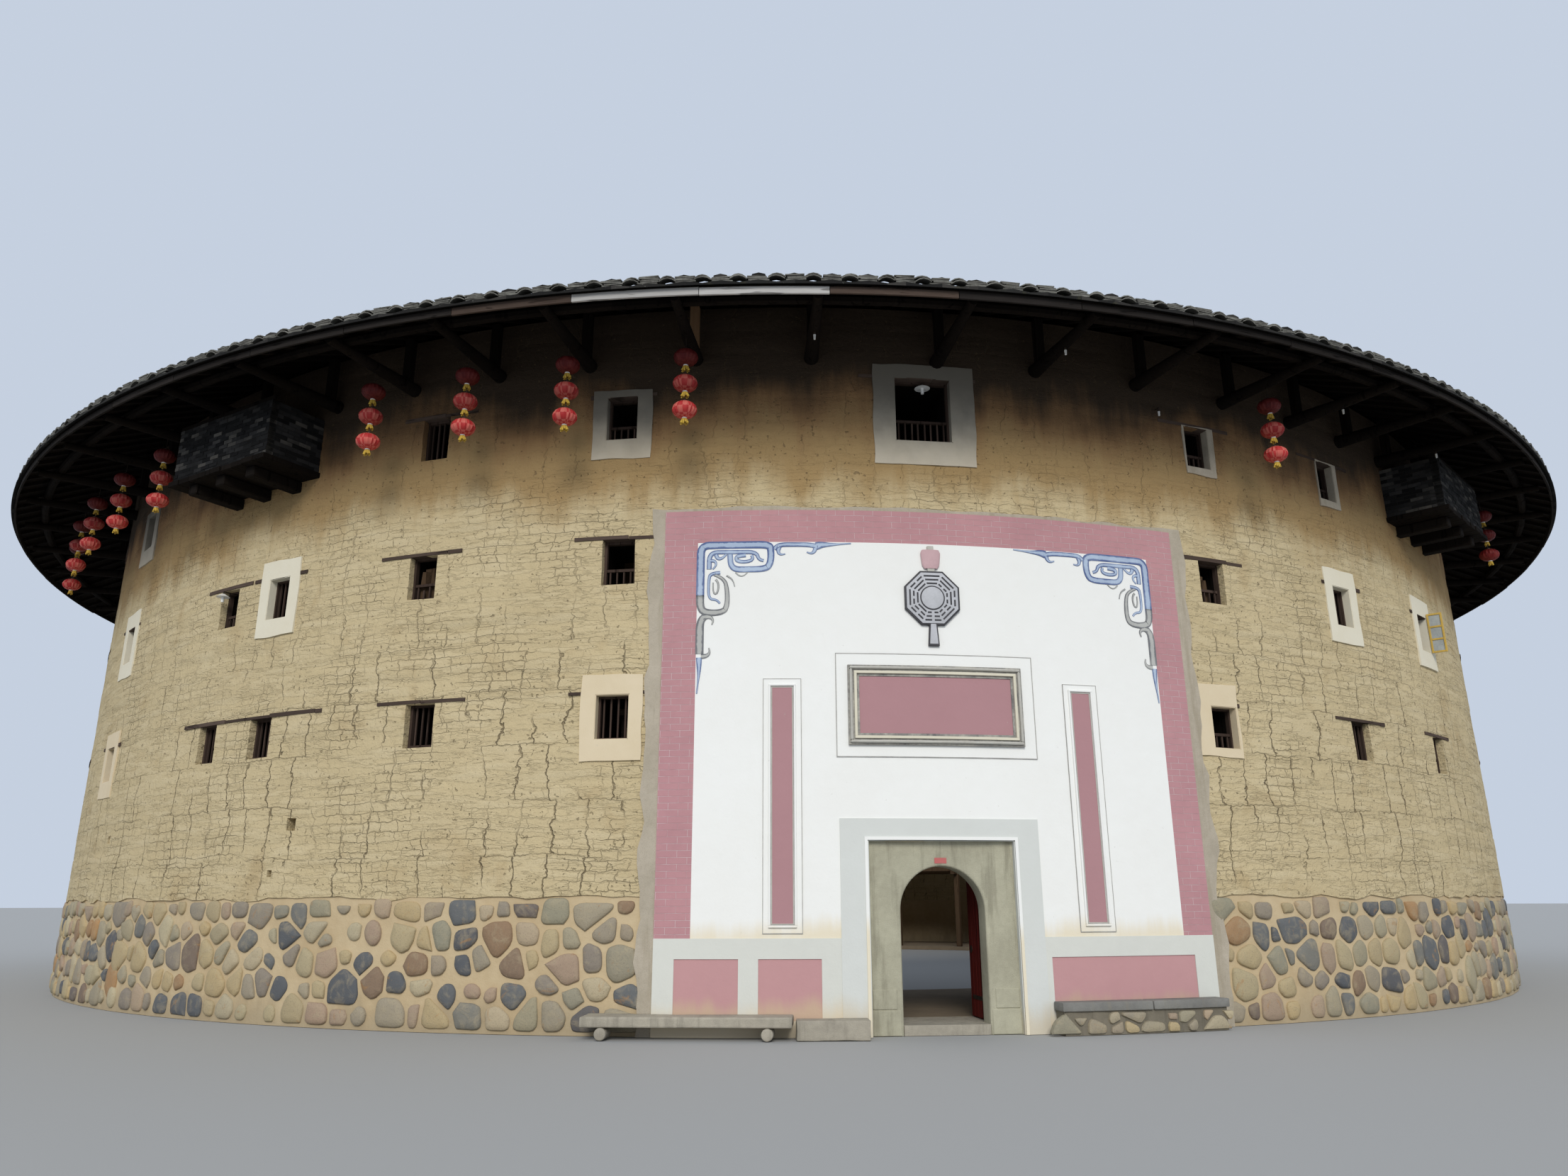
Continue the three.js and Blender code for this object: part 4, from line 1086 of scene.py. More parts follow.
def addEaveStack(bm, azimuth, kind, layers, rng):
    width, rise = stack[kind]
    turn, tilt = stack["turn"], stack["tilt"]
    for layer in range(layers):
        part = newMesh()
        bmesh.ops.create_grid(part, x_segments=4 if rise else 1, y_segments=1, size=0.5)
        wide = width * rng.uniform(0.86, 1.03)
        for vert in part.verts:
            vert.co = (vert.co.x * wide, vert.co.y * stack["length"], (1 - 4 * vert.co.x ** 2) * rise)
        bmesh.ops.solidify(part, geom=part.faces[:], thickness=stack["tile"])
        height = roofTopAt(eaveEnd) - stack["sink"] + rise / 2 + layer * stack["lift"]
        where = (turned(azimuth + rng.uniform(-turn, turn), 0, -eaveEnd + stack["back"], height)
            @ spin(slope * 0.6 + rng.uniform(-tilt, tilt), "X")
            @ spin(rng.uniform(-tilt, tilt), "Y"))
        bmesh.ops.transform(part, matrix=where, verts=part.verts)
        merge(bm, part, rng.random(), 1)


def addRidge(bm, start, end, rng):
    # lapped ridge tiles on their bed
    height = ridgeTop + ridge["rise"]
    for azimuth in spread(start, end, ridge["pitch"]):
        ends = [polar(azimuth + turn, ridgeRadius, height) for turn in (-ridge["reach"], ridge["reach"])]
        addRod(bm, *ends, *ridge["radii"], sides=8, tone=rng.random())
    bed = [(ridgeRadius + across, ridgeTop + up) for across, up in ridge["bed"]]
    addRing(bm, bed, start, end, steps=ringSteps(start, end, 4), tone=0.9)


def makeRoofSide(side):
    start, end = sides[side]
    rng = random.Random("roof" + side)
    for name, low, high, rows in (("Outer", eaveEnd, ridgeRadius + ridge["gap"], roof["outerRows"]),
            ("Inner", innerEave + 0.02, ridgeRadius - ridge["gap"], roof["innerRows"])):
        bm = newMesh()
        addPans(bm, start, end, low, high, rows)
        pitch = facet / rows
        inset = copysign(roof["inset"], high - low)
        for k in range(round((end - start) / pitch)):
            azimuth = start + (k + 0.5) * pitch
            addCoverRow(bm, azimuth, low + inset, high, rng)
            if name == "Outer":
                addEaveStack(bm, azimuth, "flat", rng.choice(stack["layers"]), rng)
                addEaveStack(bm, azimuth - pitch / 2, "crowned", 2, rng)
        if name == "Outer":
            addRidge(bm, start, end, rng)
        finishes = [tileFinish, stackTile] if name == "Outer" else tileFinish
        addPiece(bm, f"roofTiles{name}_{side}", finishes, [f"roof_{name.lower()}_{side}"])


for side in sides:
    makeRoofSide(side)
print("roof tiles laid")


def addRafter(bm, azimuth, low, high):
    # from one radius to another, close under the roof boards
    depth, half = roof["rafterDepth"], roof["rafterWidth"] / 2
    span = (high - low) / cos(slope)
    middle = (low + high) / 2
    height = roofTopAt(middle) - (roof["deckDrop"] + 0.025) - depth / 2
    lean = slope if middle > ridgeRadius else -slope
    where = turned(azimuth, 0, -middle, height) @ spin(lean, "X")
    addBox(bm, (-half, -span / 2, -depth / 2), (half, span / 2, depth / 2), where=where,
        tone=(azimuth * 7.3) % 1)


fascia = {"back": 0.11, "thickness": 0.035, "depth": 0.115, "top": 10.47, "board": 5.2, "gap": 0.015,
    "uneven": (0.008, 0.012), "proud": 0.004, "innerBack": 0.04, "innerDrops": (0.36, 0.17),
    "innerGap": 0.02}
# weathered boards of the eave's edge: near which azimuth, finish and tone
paleBoards = {-18: (2, 0.9), -12: (1, 0.45), -7: (1, 0.0), -2: (2, 0.6)}


def makeRoofDeck(side):
    start, end = sides[side]
    rng = random.Random("deck" + side)
    bm = newMesh()
    under, board = roof["deckDrop"] - 0.005, roof["board"]
    for low, high in ((innerEave + 0.05, ridgeRadius), (ridgeRadius, eaveEnd - 0.06)):
        outline = [(radius, roofTopAt(radius) - under - drop)
            for radius, drop in ((low, 0), (high, 0), (high, board), (low, board))]
        addRing(bm, outline, start, end, steps=ringSteps(start, end, 4), tone=0.6)
    for azimuth in spread(start, end, roof["rafterPitch"]):
        addRafter(bm, azimuth, wallRadius - 1.0, eaveEnd - 0.12)
        addRafter(bm, azimuth, innerEave + 0.08, ridgeRadius - 0.2)
    addPiece(bm, f"roofBoards_{side}", sootAndShadeTimber)

    bm = newMesh()
    boards = round((end - start) / fascia["board"])
    width = (end - start) / boards
    outer = eaveEnd - fascia["back"] + fascia["thickness"]
    inner = outer - fascia["thickness"]
    topUneven, bottomUneven = fascia["uneven"]
    for k in range(boards):
        left = start + k * width
        middle = left + width / 2
        pale = [look for near, look in paleBoards.items() if side == "front" and abs(middle - near) < width / 2]
        slot, tone = pale[0] if pale else (0, rng.random())
        top = fascia["top"] + rng.uniform(-topUneven, topUneven)
        bottom = top - fascia["depth"] + rng.uniform(-bottomUneven, bottomUneven)
        outline = [(inner, bottom), (outer, bottom), (outer + fascia["proud"] * (k % 2), top), (inner, top)]
        addRing(bm, outline, left + fascia["gap"], left + width - fascia["gap"], steps=6, tone=tone, slot=slot)
    inner = innerEave + fascia["innerBack"]
    outer = inner + fascia["thickness"]
    bottom, top = (roofTopAt(inner) - drop for drop in fascia["innerDrops"])
    for k in range(boards):
        left = start + k * width
        addRing(bm, [(inner, bottom), (outer, bottom), (outer, top), (inner, top)], left + fascia["innerGap"],
            left + width - fascia["innerGap"], steps=4, tone=rng.random())
    addPiece(bm, f"eaveBoards_{side}", [darkFascia, fasciaTimber, windowTimber])


for side in sides:
    makeRoofDeck(side)
print("roof boards and eave boards nailed")


logs = {"bottom": 10.42, "radius": 0.135, "root": 0.3, "tip": 21.13, "tipRadius": 0.07, "tipDrop": 0.04,
    "pitch": 5.45, "propFrom": 19.14, "propSize": 0.15, "postHalf": 0.06, "purlin": 20.75,
    "purlinRadius": 0.085}
frontLogs = [-32.4, -27.1, -21.9, -16.9, -11.4, -5.6, 0.8, 6.1, 12.0, 17.9, 23.3, 28.3, 33.3]
newProp = -11.4  # the one prop that isn't sooty yet
lanternAzimuths = [-65.1, -59.6, -54.2, -48.7, -43.3, -27.1, -21.9, -16.9, -11.4, 17.9, 44.2]
lantern = {"hang": 20.0, "heights": (10.05, 9.6, 9.15), "radius": 0.195, "half": 0.138, "ribs": 18,
    "wire": 0.005, "ring": 0.04, "fringe": 0.1, "strands": 11, "darkened": 44.2}


def listLogs():
    first, last = frontLogs[0], frontLogs[-1]
    span = 360 - (last - first)
    count = round(span / logs["pitch"])
    return frontLogs + [last + span * k / count for k in range(1, count)]


def logTopAt(radius):
    return roofTopAt(radius) - roof["deckDrop"] - roof["board"] - roof["rafterDepth"]


def addEaveLog(bm, azimuth, rng):
    where = turned(azimuth)
    root = logs["bottom"] + logs["radius"]
    tip = logs["bottom"] - logs["tipDrop"] + logs["tipRadius"]
    addRod(bm, (0, -wallRadius + logs["root"], root), (rng.uniform(-0.03, 0.03), -logs["tip"], tip),
        logs["radius"] * rng.uniform(0.92, 1.0), logs["tipRadius"], where=where, tone=rng.random())
    near, far = logs["propFrom"], logs["propFrom"] + logs["propSize"]
    half = logs["propSize"] / 2
    addBox(bm, (-half, -far, root + 0.05), (half, -near, logTopAt(far) + 0.02), bevel=0.012, where=where,
        tone=rng.random(), slot=1 if azimuth == newProp else 0)
    upper = logTopAt(logs["purlin"]) - 2 * logs["purlinRadius"]
    half = logs["postHalf"]
    addBox(bm, (-half, -logs["purlin"] - half, tip), (half, -logs["purlin"] + half, upper + 0.05), where=where,
        tone=rng.random())


def makeEaveFrame(side):
    rng = random.Random("eave" + side)
    bm = newMesh()
    azimuths = listLogs()
    for k, azimuth in enumerate(azimuths):
        if not onSide(azimuth, side):
            continue
        addEaveLog(bm, azimuth, rng)
        following = azimuths[(k + 1) % len(azimuths)]
        if following < azimuth:
            following += 360
        height = logTopAt(logs["purlin"]) - logs["purlinRadius"]
        for part in range(2):  # the ring purlin, in two lengths to a bay
            step = (following - azimuth) / 2
            addRod(bm, polar(azimuth + part * step, logs["purlin"], height),
                polar(azimuth + (part + 1) * step + 0.1, logs["purlin"], height), logs["purlinRadius"],
                logs["purlinRadius"] * 0.93, sides=8, tone=rng.random())
    addPiece(bm, f"eaveLogs_{side}", [sootAndShadeTimber, propTimber], [f"eave_frame_{side}"])


def addLantern(bm, azimuth, height, darkened):
    # a ribbed gauze lantern with a cap at each end and a yellow fringe
    where = turned(azimuth, 0, -lantern["hang"], height)
    part = newMesh()
    panels = 2 * lantern["ribs"]
    bmesh.ops.create_uvsphere(part, u_segments=panels, v_segments=12, radius=1.0)
    for vert in part.verts:
        spoke = round(atan2(vert.co.y, vert.co.x) / (2 * pi) * panels)
        fullness = (1.0 if spoke % 2 else 0.93) * lantern["radius"]
        vert.co = (vert.co.x * fullness, vert.co.y * fullness, vert.co.z * lantern["half"])
    settle(part, part.verts, where, 0.0, 1 if darkened else 0)
    layer = part.faces.layers.float["tone"]
    for number, face in enumerate(part.faces):
        # the paler panels are a painted highlight of the sheen on the ribs
        face[layer] = number % 2  # every other panel between the ribs shows paler
    merge(bm, part)
    half, ring, strands = lantern["half"], lantern["ring"], lantern["strands"]
    addRod(bm, (0, 0, half - 0.015), (0, 0, half + 0.012), ring, sides=14, where=where, slot=3)
    addRod(bm, (0, 0, -half - 0.012), (0, 0, -half + 0.012), ring, sides=14, where=where, slot=4)
    for strand in range(strands):
        angle = strand * 2 * pi / strands
        x, y = cos(angle) * ring, sin(angle) * ring
        down = lantern["fringe"] * (0.8 + 0.25 * (strand % 3) / 2)
        addRod(bm, (x * 0.7, y * 0.7, -half - 0.008), (x * 1.5, y * 1.1, -half - down), 0.01, 0.013, sides=5,
            where=where, slot=2)


def makeLanterns(side):
    bm = newMesh()
    heights = lantern["heights"]
    for azimuth in lanternAzimuths:
        if not onSide(azimuth, side):
            continue
        addRod(bm, (0, 0, heights[-1]), (0, 0, logs["bottom"] + 0.06), lantern["wire"], sides=6,
            where=turned(azimuth, 0, -lantern["hang"]), slot=3)
        for number, height in enumerate(heights):
            # the top lantern of each string is darkened as painted shade of the eave
            addLantern(bm, azimuth, height, number == 0 or azimuth == lantern["darkened"])
    if bm.verts:
        addPiece(bm, f"lanterns_{side}", [lanternFinish, shadedFadedLantern, tasselFinish, ironFinish, lampFinish])
    else:
        bm.free()


for side in sides:
    makeEaveFrame(side)
    makeLanterns(side)
print("eave logs and lanterns hung")


bay = {"half": 1.36, "front": 20.02, "brick": (0.24, 0.14, 0.066), "joint": 0.009, "bottom": 9.32, "top": 10.36,
    "inWall": 0.05, "floor": 0.1, "boards": 9, "gap": 0.004, "lip": 0.05, "bracket": (0.24, 0.2),
    "bracketAt": 0.84}


def addBrickwork(bm, length, where, rng, offset=0):
    # a wall of thin bricks along local x, its outer face at y = 0, with mortar behind the joints
    brickLength, thickness, height = bay["brick"]
    joint, bottom, top = bay["joint"], bay["bottom"], bay["top"]
    addBox(bm, (0, joint, bottom), (length, thickness - joint, top - 0.01), where=where, tone=0.3, slot=1)
    courses = round((top - bottom) / (height + joint))
    rise = (top - bottom) / courses
    for course in range(courses):
        x = -brickLength / 2 if (course + offset) % 2 else 0.0
        z = bottom + course * rise
        while x < length - 0.02:
            left, right = max(x, 0), min(x + brickLength - joint, length)
            shove = rng.uniform(-0.006, 0.008)
            lost = course == courses - 1 and rng.random() < 0.3
            if right - left > 0.03 and not lost:
                addBox(bm, (left, shove, z), (right, thickness, z + rise - joint * rng.uniform(0.7, 1.3)),
                    where=where, tone=rng.random())
            x += brickLength


def makeBay(side):
    rng = random.Random("bay" + side)
    half, bottom, top, thickness = bay["half"], bay["bottom"], bay["top"], bay["brick"][1]
    depth = bay["front"] - wallRadius
    base = turned(bayAzimuths[side], 0, -bay["front"])
    bm = newMesh()
    addBrickwork(bm, 2 * half, base @ shift(-half, 0, 0), rng)
    for start, turn in (((half, thickness, 0), pi / 2), ((-half, depth + bay["inWall"], 0), -pi / 2)):
        corner = base @ Matrix.Translation(start) @ spin(turn, "Z")
        addBrickwork(bm, depth - thickness + bay["inWall"], corner, rng, 1)
    addPiece(bm, f"bayBricks_{side}", [brickFinish, jointFinish], [f"bay_walls_{side}"])

    bm = newMesh()
    lip, gap, under = bay["lip"], bay["gap"], bottom - bay["floor"]
    width = (2 * half + 2 * lip) / bay["boards"]
    for k in range(bay["boards"]):
        x = -half - lip + k * width
        addBox(bm, (x + gap, -lip + rng.uniform(-0.02, 0.01), under),
            (x + width - gap, depth + 0.06, bottom - gap), bevel=0.006, where=base, tone=rng.random())
    wide, deep = bay["bracket"]
    for at in (-bay["bracketAt"], 0, bay["bracketAt"]):
        addBox(bm, (at - wide / 2, 0.06 + rng.uniform(0, 0.06), under - deep),
            (at + wide / 2, depth + 0.3, under - gap), bevel=0.02, where=base, tone=rng.random())
    addBox(bm, (-half - 0.03, 0.015, top), (half + 0.03, 0.13, top + 0.08), bevel=0.01, where=base, tone=0.4)
    addPiece(bm, f"bayTimber_{side}", sootAndShadeTimber, [f"bay_floor_{side}"])


for side in bayAzimuths:
    makeBay(side)
print("watch bays bricked")


unit = {"depth": 0.13, "frame": 0.045, "thickness": 0.08, "slack": 0.01, "lining": 0.02, "bar": 0.026,
    "barPitch": 0.105, "rail": 0.36}
railedStyles = ("rail", "limeRail", "limeCorner", "shutter", "lamp", "balustrade", "limeHalf")
# lime round a window: its reach to the left, right, below and above the hole, and its finish
surround = {"lime": (0.235, 0.235, 0.31, 0.33, 1), "limeBars": (0.22, 0.2, 0.32, 0.31, 0),
    "limeHalf": (0.28, 0.04, 0.13, 0.36, 0), "limeRail": (0.235, 0.235, 0.33, 0.12, 2),
    "limeCorner": (0.02, 0.12, 0.13, 0.02, 3), "casement": (0.235, 0.25, 0.33, 0.36, 1),
    "balustrade": (0.36, 0.4, 0.4, 0.24, 2)}
limeCoat = {"proud": 0.018, "inWall": 0.06, "wander": 0.028, "reveal": 0.012, "overlap": 0.01}


def addWindowTimber(bm, window, rng):
    half, bottom, top, style = window["width"] / 2, window["bottom"], window["top"], window["style"]
    where = turned(window["azimuth"], 0, -wallRadius)
    member, near, slack, lining = unit["frame"], unit["depth"], unit["slack"], unit["lining"]
    far = near + unit["thickness"]
    inner = half - member
    tone = rng.random
    for left, right, low, high in ((-half - slack, -inner, bottom - slack, top + slack),
            (inner, half + slack, bottom - slack, top + slack),
            (-inner, inner, top - member, top + slack),
            (-inner, inner, bottom - slack, bottom + member)):
        addBox(bm, (left, near, low), (right, far, high), where=where, tone=tone())
    # a near-black timber lining of the deep reveal behind the frame: painted shade that keeps the hole dark
    deep = wallRadius - innerRadius - slack
    for low, high in (((-half - lining, far, bottom - lining), (-half + lining, deep, top + lining)),
            ((half - lining - half * 0.06, far, bottom - lining), (half + slack, deep, top + lining)),
            ((-half, far, top - lining), (half, deep, top + lining)),
            ((-half, far, bottom - lining), (half, deep, bottom + lining))):
        addBox(bm, low, high, where=where, tone=0.9, slot=1)
    railed = style in railedStyles
    barTop = bottom + unit["rail"] * (top - bottom) if railed else top - member
    count = max(4, round(2 * inner / unit["barPitch"]))
    thin = unit["bar"] / 2
    for k in range(count):
        x = -inner + (k + 0.5) * 2 * inner / count + rng.uniform(-0.006, 0.006)
        broken = style == "shutter" and rng.random() < 0.25
        addBox(bm, (x - thin, near + 0.025, bottom + member),
            (x + thin, near + 0.05, barTop - (0.08 if broken else 0)), where=where, tone=tone())
    if railed:
        addBox(bm, (-inner, near + 0.015, barTop - 0.02), (inner, near + 0.065, barTop + 0.025), where=where,
            tone=tone())
    if style == "shutter":  # loose boards left behind the bars
        for x, lean in ((-half * 0.5, 0.1), (half * 0.05, -0.06)):
            board = where @ shift(x, far + 0.02, bottom) @ spin(lean, "Y")
            addBox(bm, (-0.09, 0, 0.02), (0.09, 0.02, (top - bottom) * rng.uniform(0.6, 0.85)), where=board,
                tone=tone(), slot=3)


def addLintel(bm, left, right, height, rng):
    # poles laid end to end over a window
    x = left
    while x < right - 0.1:
        length = min(rng.uniform(0.8, 1.5), right - x)
        thickness = rng.uniform(0.045, 0.075)
        low = height + rng.uniform(-0.012, 0.012)
        addPlate(bm, x, x + length, low, low + thickness, -0.012, 0.2, tone=rng.random(), slot=2, step=0.4)
        x += length + 0.01


def addSurround(bm, window, rng):
    middle, half, bottom, top = along(window["azimuth"]), window["width"] / 2, window["bottom"], window["top"]
    *reach, slot = surround[window["style"]]
    left, right = middle - half - reach[0], middle + half + reach[1]
    low, high = bottom - reach[2], top + reach[3]
    part = flatSheet(left, right, low, high, 0.14)
    cutHole(part, middle - half, middle + half, bottom, top)
    thicken(part, -limeCoat["proud"], limeCoat["inWall"])
    for vert in part.verts:  # a hand-laid edge
        spot = Vector((vert.co.x * 2.1, vert.co.z * 2.1, window["azimuth"]))
        if min(vert.co.x - left, right - vert.co.x, vert.co.z - low, high - vert.co.z) < 0.01:
            vert.co.x += noise.noise(spot) * limeCoat["wander"]
            vert.co.z += noise.noise(spot + Vector((5, 5, 5))) * limeCoat["wander"]
    hang(bm, part, rng.random(), slot)
    # limewashed reveals
    where = turned(window["azimuth"], 0, -wallRadius)
    deep, coat, over = unit["depth"], limeCoat["reveal"], limeCoat["overlap"]
    for a, b in (((-half - over, -over, bottom), (-half + coat, deep, top)),
            ((half - coat, -over, bottom), (half + over, deep, top)),
            ((-half, -over, bottom - over), (half, deep, bottom + coat)),
            ((-half, -over, top - coat), (half, deep, top + over))):
        addBox(bm, a, b, where=where, slot=slot)


def makeWindowSide(side):
    rng = random.Random("windows" + side)
    timber, lime = newMesh(), newMesh()
    for window in windows:
        if not onSide(window["azimuth"], side) or window["style"] == "open":
            continue
        addWindowTimber(timber, window, rng)
        middle, half, style = along(window["azimuth"]), window["width"] / 2, window["style"]
        beyond = [rng.uniform(0.38, 0.6), rng.uniform(0.38, 0.6) + (2.3 if style == "pair" else 0)]
        if style in surround:
            addSurround(lime, window, rng)
            if style != "limeCorner":  # only the ends of the lintel poles stick out of the lime
                beyond = [surround[style][k] + rng.uniform(0.02, 0.3) for k in (0, 1)]
        if style != "paired":
            addLintel(timber, middle - half - beyond[0], middle + half + beyond[1], window["top"] - 0.01, rng)
    addPiece(timber, f"windowTimber_{side}", [barTimber, sootAndShadeTimber, windowTimber, galleryTimber])
    addPiece(lime, f"windowLime_{side}", [creamLime, windowWhite, greyLime, cementFinish])


casement = {"azimuth": 36.4, "width": 0.28, "bottom": 6.68, "top": 7.5, "open": 84, "member": 0.038}


def makeCasement():
    # the one yellow leaf that stands open, with three panes
    bm = newMesh()
    width, member = casement["width"], casement["member"]
    where = (turned(casement["azimuth"], windowWidth / 2 - 0.02, -wallRadius - 0.03, casement["bottom"])
        @ spin(radians(-casement["open"]), "Z"))
    high = casement["top"] - casement["bottom"]
    for left in (0, width - member):
        addBox(bm, (left, 0, 0), (left + member, member, high), bevel=0.004, where=where)
    for rail in range(4):
        low = rail * (high - member) / 3
        addBox(bm, (member, 0.002, low), (width - member, member - 0.002, low + member), bevel=0.003,
            where=where)
    addBox(bm, (member - 0.005, 0.015, member), (width - member + 0.005, 0.021, high - member), where=where,
        slot=1)
    addPiece(bm, "openCasement", [yellowFinish, paneFinish])


# Lamps: azimuth, radius and top, and a dish's size. Their parts: low, high, radii, sides and finish
bulbs = [(-5.6, 20.1, 10.41), (6.1, 20.1, 10.41), (13.2, 19.08, 10.12), (23.3, 20.1, 10.41),
    (33.3, 20.1, 10.41)]
dishes = [(0.1, 18.88, 10.22, 0.13), (-39.9, 19.1, 7.38, 0.12)]


bulbParts = ((-0.05, 0.03, 0.018, 0.018, 10, 1), (-0.13, -0.05, 0.016, 0.022, 10, 0))
dishParts = ((-0.06, 0.0, 0.012, 0.012, 8, 1), (-0.115, -0.055, None, 0.03, 24, 0),
    (-0.21, -0.11, 0.026, 0.03, 12, 0))


def addLamp(bm, place, parts, size, arm, root):
    azimuth, radius, top = place
    where = turned(azimuth, 0, -radius, top)
    for low, high, wide, narrow, sides, slot in parts:
        addRod(bm, (0, 0, low), (0, 0, high), wide or size, narrow, sides=sides, where=where, slot=slot)
    if radius < wallRadius + 0.2:  # an arm from the wall
        addRod(bm, (0, 0, arm), (0, radius - wallRadius + root, arm), 0.008, sides=8, where=where, slot=1)


def makeLamps():
    bm = newMesh()
    for place in bulbs:
        addLamp(bm, place, bulbParts, 0, 0.02, 0.06)
    for *place, size in dishes:
        addLamp(bm, place, dishParts, size, -0.01, 0.3)
    addPiece(bm, "lamps", [lampFinish, ironFinish])


for side in sides:
    makeWindowSide(side)
makeCasement()
makeLamps()
print("windows fitted")


# The plastered front: azimuths of its edges, heights in metres
front = {"left": -13.45, "right": 13.85, "top": 7.91, "pinkLeft": -12.7, "pinkRight": 13.1, "pinkTop": 7.83,
    "whiteLeft": -11.1, "whiteRight": 11.5, "whiteTop": 7.29, "dadoTop": 1.32}
doorSurround = {"left": -4.57, "right": 4.5, "top": 3.0, "edge": 0.045}
dadoPanels = [(-11.78, -9.01, 0.22), (-8.15, -5.43, 0.22), (4.77, 11.98, 0.3)]  # left, right, bottom
dadoPanelTop = 1.04
# where each coat starts and ends, measured into the wall
coats = {"cement": (-0.022, 0.08), "pink": (-0.036, 0.05), "white": (-0.04, 0.04), "dado": (-0.048, 0.04),
    "dadoPanel": (-0.034, 0.03), "doorSurround": (-0.056, 0.03), "doorRim": (-0.072, 0.03)}


def addFrame(bm, left, right, bottom, top, width, near, back, slot, bevel=0.0):
    # four bent battens round a rectangle, their outer edges on it
    for batten in ((left, right, top - width, top), (left, right, bottom, bottom + width),
            (left, left + width, bottom + width, top - width),
            (right - width, right, bottom + width, top - width)):
        addPlate(bm, *batten, near, back, bevel, slot=slot)


def makePlasterFront():
    bm = newMesh()
    left, right = along(front["left"]), along(front["right"])
    part = flatSheet(left, right, 0.0, front["top"], 0.2)
    cutHole(part, *doorHole)
    thicken(part, *coats["cement"])
    for vert in part.verts:  # the cement runs out unevenly on the earth
        spot = Vector((vert.co.x * 1.3, 3.0, vert.co.z * 1.3))
        if vert.co.x < left + 0.01 or vert.co.x > right - 0.01:
            vert.co.x += noise.noise(spot) * 0.13 + noise.noise(spot * 5) * 0.05
        if vert.co.z > front["top"] - 0.01:
            vert.co.z -= abs(noise.noise(spot)) * 0.08
    hang(bm, part)
    addPiece(bm, "cementBorder", cementFinish, ["plaster_front"])

    bm = newMesh()
    pinkLeft, pinkRight = along(front["pinkLeft"]), along(front["pinkRight"])
    whiteLeft, whiteRight = along(front["whiteLeft"]), along(front["whiteRight"])
    dado, high = front["dadoTop"], front["whiteTop"]
    for band in ((pinkLeft, whiteLeft, dado, high), (whiteRight, pinkRight, dado, high),
            (pinkLeft, pinkRight, high, front["pinkTop"])):
        addPlate(bm, *band, *coats["pink"], step=0.3)
    addPiece(bm, "pinkBand", pinkFinish)

    bm = newMesh()
    addPlate(bm, whiteLeft, whiteRight, dado, high, *coats["white"], hole=doorHole, step=0.3)
    addPiece(bm, "whiteField", whiteFinish)

    bm = newMesh()
    surroundLeft, surroundRight = along(doorSurround["left"]), along(doorSurround["right"])
    for a, b in ((pinkLeft, surroundLeft), (surroundRight, pinkRight)):
        part = flatSheet(a, b, 0.0, dado, 0.4, rows=1)
        for start, end, low in dadoPanels:
            if a < along(start) < b:
                cutHole(part, along(start), along(end), low, dadoPanelTop)
        thicken(part, *coats["dado"])
        hang(bm, part)
    addPiece(bm, "greyDado", dadoFinish)

    bm = newMesh()
    for start, end, low in dadoPanels:
        addPlate(bm, along(start) - 0.01, along(end) + 0.01, low - 0.01, dadoPanelTop + 0.01,
            *coats["dadoPanel"], step=0.3)
    addPiece(bm, "dadoPanels", plainPinkFinish)

    bm = newMesh()
    addPlate(bm, surroundLeft, surroundRight, 0.0, doorSurround["top"], *coats["doorSurround"], hole=doorHole,
        step=0.3)
    half, top, edge = doorRecess["half"], doorRecess["top"], doorSurround["edge"]
    for rim in ((-half - edge, -half, 0.0, top), (half, half + edge, 0.0, top),
            (-half - edge, half + edge, top, top + edge)):
        addPlate(bm, *rim, *coats["doorRim"], slot=1)
    # the plastered returns of the recess, as deep as the stone frame's face
    near, deep = -wallRadius - 0.02, -doorRecess["front"] + 0.01
    for a, b, low in ((-half, -half + 0.012, 0), (half - 0.012, half, 0), (-half, half, top - 0.012)):
        addBox(bm, (a, near, low), (b, deep, top))
    addPiece(bm, "doorSurround", [doorLimeFinish, whiteFinish])


plaque = {"left": -1.36, "right": 1.36, "bottom": 4.08, "top": 5.3, "outerLeft": -4.65, "outerRight": 4.72,
    "outerBottom": 3.9, "outerTop": 5.49}
# lines and mouldings: width (of a verse panel's: reach and width), front and finish; the dark lines are painted
# shadow along the mouldings
plaqueMouldings = ((0.026, -0.10, 1), (0.04, -0.14, 2), (0.028, -0.10, 1), (0.04, -0.122, 0), (0.04, -0.088, 1))
verse = {"middle": 2.355, "half": 0.15, "bottom": 1.52, "top": 4.93, "field": (0.14, 0.13, 0.16)}
verseLines = ((0.14, 0.009, -0.054, 3), (0.056, 0.032, -0.078, 0), (0.024, 0.012, -0.056, 3),
    (0.012, 0.012, -0.06, 2))


